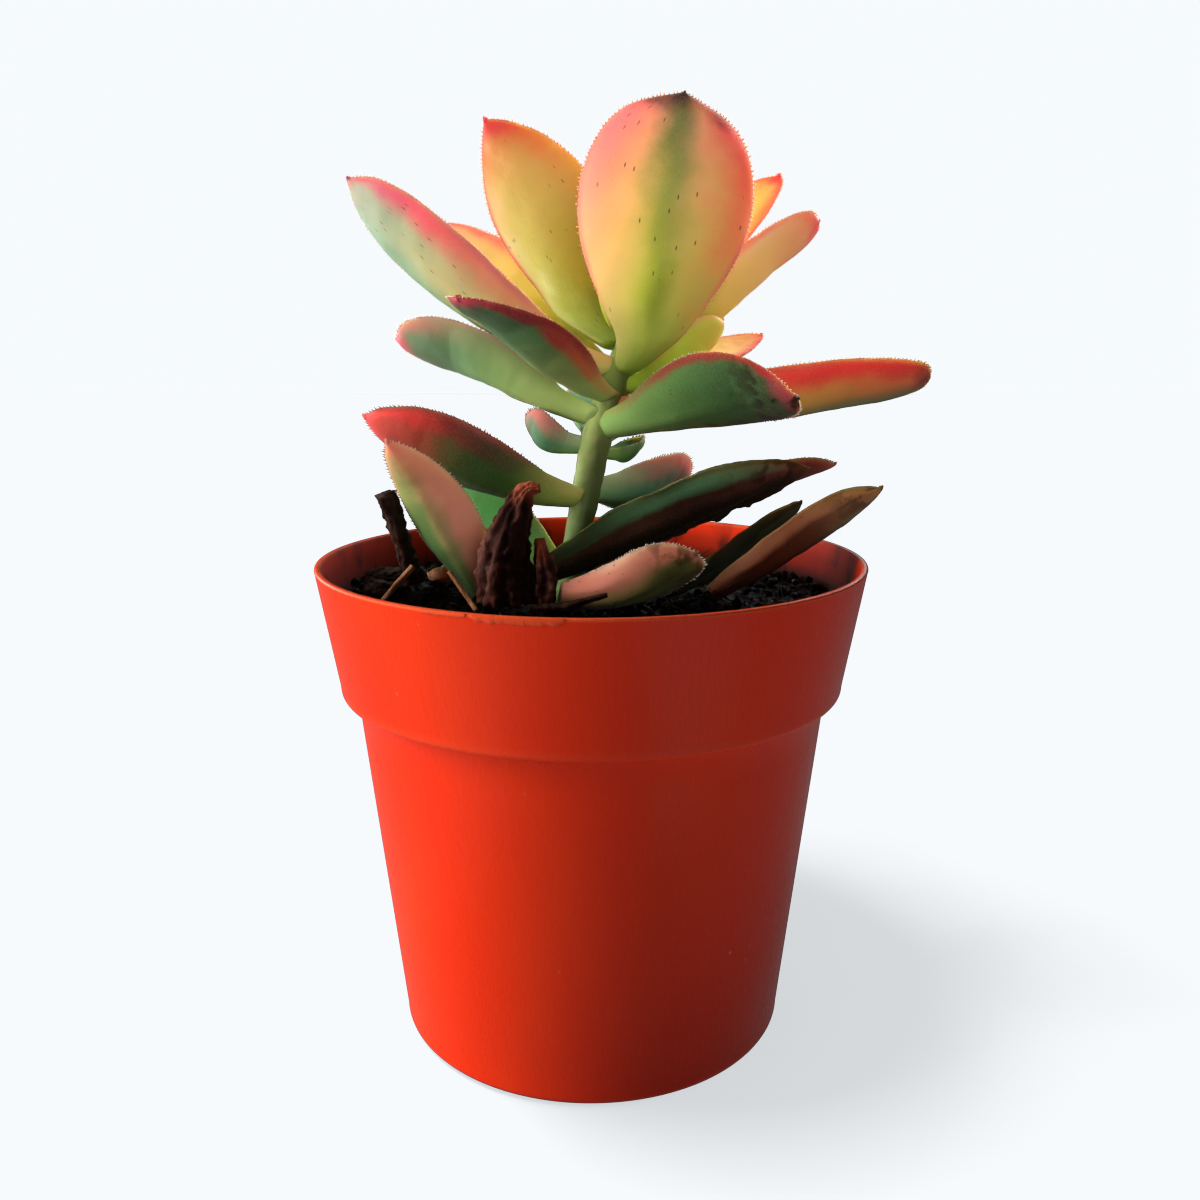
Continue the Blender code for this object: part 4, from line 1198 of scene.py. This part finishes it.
# %% Leaf table
LEAVES = (
    # The crown: broad young leaves that stand up round the growing point.
    Leaf("crown_leaf_front", 110.5, (13.6, -11.0, 149.7), 26.0, 3.6, 1.2, sway=-0.6, roll=-42, cup=2.5,
         waist=0.18, point=0.45, blunt=12),
    Leaf("crown_leaf_left", 114.5, (-17.1, 6.0, 149.5), 21.0, 3.2, 1.0, sway=-3.5, roll=-45, cup=2.5,
         waist=0.4, peak=0.56, point=0.9),
    Leaf("crown_leaf_back_left", 110.0, (-27.6, 28.0, 136.0), 8.6, 3.0, -3.5, roll=-25, waist=0.28),
    Leaf("crown_leaf_back", 113.5, (10.0, 24.0, 143.0), 22.0, 3.0, 3.0, cup=2.0, waist=0.2),
    Leaf("crown_leaf_right", 114.0, (31.0, 10.0, 141.6), 13.0, 3.0, -2.5, roll=20, waist=0.25),
    Leaf("crown_leaf_lower_right", 112.0, (35.6, -1.0, 133.2), 13.6, 3.0, -1.5, roll=-25, waist=0.28,
         peak=0.7, point=0.35, blunt=60),
    Leaf("crown_leaf_short", 108.0, (20.8, -2.4, 118.2), 10.0, 3.0, 0.0, roll=-30, waist=0.35, point=0.5),
    Leaf("crown_leaf_back_right", 109.5, (29.9, 17.0, 116.4), 8.0, 2.6, 1.0, roll=20, waist=0.4),
    # The middle of the stem: longer leaves that reach out.
    Leaf("leaf_far_left", 110.8, (-38.0, 0.0, 139.8), 13.6, 3.2, 2.4, roll=40, twist=14, waist=0.28,
         point=0.6, blunt=12),
    Leaf("leaf_front_left", 107.0, (-18.6, -22.0, 120.6), 18.0, 3.4, -2.0, roll=-5, waist=0.3, point=0.5),
    Leaf("leaf_left", 103.0, (-32.3, 6.0, 115.2), 18.0, 3.2, -3.0, roll=30, waist=0.3, peak=0.7,
         point=0.45),
    Leaf("leaf_front_right", 101.5, (30.0, -20.0, 106.6), 16.8, 3.6, -4.0, roll=-40, waist=0.3, point=0.6),
    Leaf("leaf_far_right", 104.5, (54.5, -1.0, 109.2), 14.0, 3.4, 0.0, roll=-35, point=0.3, blunt=60),
    Leaf("leaf_back", 100.5, (5.0, 38.0, 111.5), 17.0, 3.2, 2.0),
    Leaf("leaf_back_right", 105.5, (18.0, 36.0, 119.0), 14.0, 3.2, 2.0),
    # The lower stem: small leaves and old ones near the soil.
    Leaf("small_leaf_left", 98.5, (-10.8, 4.0, 103.0), 9.0, 2.2, 1.0, roll=45),
    Leaf("small_leaf_right", 97.5, (8.6, 3.0, 99.6), 6.0, 2.0, 0.5),
    Leaf("leaf_low_back_right", 91.0, (17.3, 18.0, 90.5), 15.0, 2.6, 0.0, roll=-45),
    Leaf("leaf_low_left", 90.0, (-36.0, -5.0, 103.4), 18.0, 3.2, 0.0, roll=35, waist=0.3),
    Leaf("leaf_low_back_left", (-6.0, 8.0, 77.0), (-24.0, 13.0, 92.5), 16.0, 2.6, 0.0, roll=50),
    Leaf("wilted_leaf_right", (-10.0, -6.6, 77.4), (35.0, -5.0, 95.2), 13.4, 2.0, -1.8, roll=-50, peak=0.55,
         point=0.6),
    Leaf("leaf_behind_wilted", (16.0, 6.0, 86.5), (41.5, 6.0, 94.8), 8.0, 2.2, -1.5, roll=-30),
    # Leaves that stand in the soil or lie on it.
    Leaf("standing_leaf_left", (-18.6, -2.0, 73.8), (-30.7, -15.0, 100.3), 11.4, 2.8, -3.0, roll=30,
         waist=0.3, peak=0.42),
    Leaf("soil_leaf_front", (-5.0, -12.0, 76.4), (16.4, -13.0, 82.8), 14.0, 2.6, 0.0, sway=2.6, roll=-45,
         peak=0.7, point=0.4),
    Leaf("strip_leaf_right", (14.0, 2.0, 74.5), (35.5, 4.0, 88.6), 10.0, 2.2, 1.0, roll=-35),
    Leaf("fallen_leaf_right", (19.6, -4.0, 74.5), (47.0, -4.0, 92.0), 11.2, 2.2, -0.6, roll=-40),
    Leaf("leaf_scrap", (-27.6, 2.5, 76.2), (-21.5, 0.5, 77.4), 5.0, 1.0, 0.0, roll=-20),
)
LOOKS = {
    "crown_front": ("crown_leaf_front",),
    "crown_sunrise": ("crown_leaf_left",),
    "crown_yellow": ("crown_leaf_back", "crown_leaf_right"),
    "crown_peach": ("crown_leaf_back_left", "crown_leaf_lower_right", "crown_leaf_back_right"),
    "bud": ("crown_leaf_short",),
    "rose_edge": ("leaf_far_left",),
    "crimson_left": ("leaf_front_left",),
    "crimson_edge": ("leaf_front_right", "leaf_back_right"),
    "grey_green": ("leaf_left",),
    "sunset": ("leaf_far_right",),
    "sea_green": ("leaf_back", "leaf_low_back_right", "small_leaf_left"),
    "scarlet_edge": ("leaf_low_left",),
    "deep_green": ("small_leaf_right", "leaf_low_back_left"),
    "withered": ("wilted_leaf_right",),
    "withered_tip": ("leaf_behind_wilted",),
    "standing": ("standing_leaf_left",),
    "blush": ("soil_leaf_front",),
    "strip": ("strip_leaf_right",),
    "fallen": ("fallen_leaf_right",),
    "husk": ("leaf_scrap",),
}
look_of = {name: look for look, names in LOOKS.items() for name in names}
PLAIN_EDGE = (0.12, 0.06)  # how ragged and how wrinkled a sound leaf is
RAGGED = {
    "wilted_leaf_right": (5.0, 0.8),
    "fallen_leaf_right": (0.8, 0.5),
    "strip_leaf_right": (0.8, 0.4),
    "leaf_scrap": (0.8, 0.5),
    "soil_leaf_front": (0.5, 0.35),
}
NO_BRISTLES = ("wilted_leaf_right", "strip_leaf_right", "leaf_scrap", "crown_leaf_short",
               "fallen_leaf_right")


OLD_FINISHES = ("withered", "withered_tip", "strip", "fallen", "husk")


def leaf_slot(name, finish):
    """The material slot of a leaf: the crown's, a green leaf's or an old leaf's."""
    if name.startswith("crown_"):
        return "crown_leaf"
    return "old_leaf" if finish in OLD_FINISHES else "green_leaf"


def leaf_piece(leaf, mesh, finish, slot):
    """Makes a leaf's piece from its mesh. Living leaves also get the crown's own light."""
    piece = make_piece(leaf.name + "_fine", mesh.points, mesh.faces, skins[finish], leaf.name,
                       mesh.values)
    if slot != "old_leaf":
        sunlit.objects.link(piece)


for leaf in LEAVES:
    finish = look_of[leaf.name]
    mesh = LeafMesh()
    ragged, wrinkles = RAGGED.get(leaf.name, PLAIN_EDGE)
    flip = leaf_body(mesh, leaf, ragged, wrinkles)
    if leaf.name not in NO_BRISTLES:
        leaf_bristles(mesh, leaf, flip)
    if ragged < 1.0 and leaf.name != "leaf_scrap":
        leaf_point(mesh, leaf, min(1.0, leaf.width / 14.0))
    leaf_piece(leaf, mesh, finish, leaf_slot(leaf.name, finish))
print(len(LEAVES), "leaves made")

# %% [markdown]
# The growing point sits behind the broad front leaf. Its young leaves open one after another, each
# turned by the golden angle, and shrink towards the middle.

# %% Bud leaves
BUD_LEAVES = 5
BUD_START_TURN = 230.0
BUD_START_HEIGHT = 116.0
BUD_SPACING = 0.9
BUD_SHRINK = 0.85
for index in range(BUD_LEAVES):
    scale = BUD_SHRINK**index
    height = BUD_START_HEIGHT + BUD_SPACING * index
    center, _ = stem_at(height)
    angle = math.radians(BUD_START_TURN + GOLDEN_ANGLE * index)
    outward = Vector((math.cos(angle), math.sin(angle), 0.0))
    tip = center + outward * 4.5 * scale + Vector((0, 0, 13.0 * scale))
    leaf = Leaf(f"bud_leaf_{index + 1}", height, tuple(tip), 7.0 * scale, 1.8 * scale, scale)
    mesh = LeafMesh()
    flip = leaf_body(mesh, leaf, 0.03, 0.03)
    leaf_bristles(mesh, leaf, flip, 0.4, 0.55)
    leaf_point(mesh, leaf, 0.5)
    leaf_piece(leaf, mesh, "bud", "crown_leaf")
print(BUD_LEAVES, "bud leaves made")

# %% [markdown]
# ## Dried leaves, bark and straw
# A dead leaf shrinks along its length into deep folds and curls over at the tip. It is a tapering
# tube whose section is pushed in and out by noise that is stretched along it, so the folds run
# lengthwise. Bark sticks get the same treatment, and straw is a smooth pale tube.

# %% Dry finishes
def dry_skin(name, colors, rough, glint=0.0):
    """Wrinkled dry tissue. Its colours run from painted shade in the folds to painted highlights on the
    ridges, and the last is the tip's.
    """
    look = Mixer(name, roughness=rough, Specular_IOR_Level=0.45)
    fold, slope, ridge, crest_highlight, tip_color = [tint(*color) for color in colors]
    lengthwise = look.noise(420.0, 6.0, look.place((1.0, 1.0, 0.22)))
    # Random lengthwise streaks and how far a point stands out set the colour: painted shade in the folds,
    # painted highlight on the ridges.
    value = look.plus(look.times(lengthwise, 0.55), look.times(look.attribute("height"), 0.5))
    color = look.ramp(value, [(0.25, fold), (0.5, slope), (0.72, ridge), (0.95, crest_highlight)])
    tip = look.span(look.attribute("along"), 0.58, 0.9)
    color = look.mix(look.times(tip, look.span(lengthwise, 0.42, 0.56)), color, tip_color)
    folds = look.bump(look.noise(700.0, 6.0, look.place((1.0, 1.0, 0.3))), 0.9, 0.0009)
    gloss = look.span(look.noise(1300.0, 3.0), 0.55, 0.72, rough, max(0.18, rough - glint))
    return look.done(color, folds, gloss)


# Each runs from a fold's painted shade to a crest's painted highlight, and ends with the tip's own colour.
CHAR_COLORS = ((8, 4, 4), (26, 13, 11), (100, 52, 42), (196, 136, 116), (196, 94, 64))
BARK_COLORS = ((10, 7, 6), (34, 20, 16), (70, 42, 32), (120, 82, 62), (50, 32, 26))
STRAW_COLORS = ((60, 34, 20), (128, 80, 50), (170, 116, 78), (206, 160, 120), (150, 100, 66))
char = dry_skin("charred_leaf", CHAR_COLORS, 0.62, 0.3)
bark = dry_skin("bark", BARK_COLORS, 0.8, 0.1)
straw = dry_skin("straw", STRAW_COLORS, 0.6)
print("three dry finishes")

# %% Dried leaves, sticks and straw
DRY_RODS = {
    "dried_leaf_curled": ((-13.8, -12, 74.8, 4.0), (-13.6, -12, 80, 3.8), (-12.8, -12, 85, 3.1),
                          (-11.4, -12, 89.5, 2.1), (-9.8, -12, 92.4, 1.3), (-7.8, -12, 92.8, 0.6)),
    "dried_leaf_small": ((-7.2, -13.4, 75, 1.6), (-7.4, -12.9, 80, 1.5), (-8, -12.2, 85, 0.7)),
    "bark_stick": ((-29.5, -1, 75.8, 1.7), (-30.8, -3, 82, 1.5), (-33, -5, 91, 1.6)),
    "bark_splinter": ((-28.2, -9.5, 80, 0.5), (-33, -11, 74.8, 0.4)),
    "straw_left": ((-22.6, -9, 79, 0.4), (-17.8, -14, 73.8, 0.4)),
    "twig_front": ((-9.5, -15, 74.4, 0.6), (-4, -16.5, 75.2, 0.6), (2.5, -17, 77, 0.4)),
}
DRY_LOOKS = {  # finish, slot, lumpiness and depth of the folds
    "dried_leaf_curled": (char, "dried_leaf", 0.2, 0.38),
    "dried_leaf_small": (char, "dried_leaf", 0.25, 0.4),
    "bark_stick": (bark, "bark", 0.35, 0.35),
    "bark_splinter": (straw, "bark", 0.15, 0.3),
    "straw_left": (straw, "straw", 0.05, 0.2),
    "twig_front": (bark, "straw", 0.3, 0.4),
}
for name, corners in DRY_RODS.items():
    material, slot_name, roughness, ridges = DRY_LOOKS[name]
    stations = smooth_line(corners, max(10, 60 // len(corners)))
    around = 64 if slot_name == "dried_leaf" else 24
    points = tube_points(stations, around, roughness, 1.1, ridges, seed=len(name))
    along = [ring / (len(stations) - 1) for ring in range(len(stations)) for _ in range(around)]
    # How far each point stands out sets its painted shade or highlight.
    heights = []
    for index, point in enumerate(points):
        middle, radius = stations[index // around]
        heights.append(max(0.0, min(1.0, (point - middle).length / radius - 0.5)))
    make_piece(name + "_fine", points, skin((len(stations), around)), material, name,
               {"along": along, "height": heights})
print(len(DRY_RODS), "dry rods made")

# %% Bark lumps
LUMP_SHAPE = Vector((1.1, 0.9, 0.75))  # longer than broad, and flattened
LUMPS = ((-36.0, 6.0, 3.2), (-35.0, -4.0, 2.6), (30.0, -9.0, 2.2))
for index, (x, y, size) in enumerate(LUMPS):
    chip = bmesh.new()
    bmesh.ops.create_icosphere(chip, subdivisions=5, radius=1.0)
    spots, heights = [], []
    middle = Vector((x, y, soil_height(x, y) + 0.5))
    for vert in chip.verts:
        lump = 1.0 + 0.35 * noise.noise(vert.co * 1.6 + middle)
        lump += 0.16 * noise.noise(vert.co * 5.0 + middle)
        spots.append(middle + vert.co * LUMP_SHAPE * size * lump)
        # How far each point stands out sets its painted shade or highlight.
        heights.append(max(0.0, min(1.0, lump - 0.6)))
    corners = [tuple(vert.index for vert in face.verts) for face in chip.faces]
    chip.free()
    make_piece(f"bark_lump_{index + 1}_fine", spots, corners, bark, f"bark_lump_{index + 1}",
               {"along": [0.0] * len(spots), "height": heights})
print(len(LUMPS), "bark lumps made")

# %% [markdown]
# ## Light in the crown
# Thin leaves high above the rim get light from all round and pass it on, so they look lit from
# within. Two more lamps that reach only the living leaves stand for that.

# %% Crown lights
CROWN = (0.0, 0.0, 0.125)
soft_light("crown_front", (0.14, -0.5, 0.3), CROWN, 0.35, 0.35, 1.3, (1.0, 0.98, 0.94), lit=sunlit)
soft_light("crown_back", (0.35, 0.25, 0.35), CROWN, 0.3, 0.3, 4.5, (1.0, 0.97, 0.88), lit=sunlit)
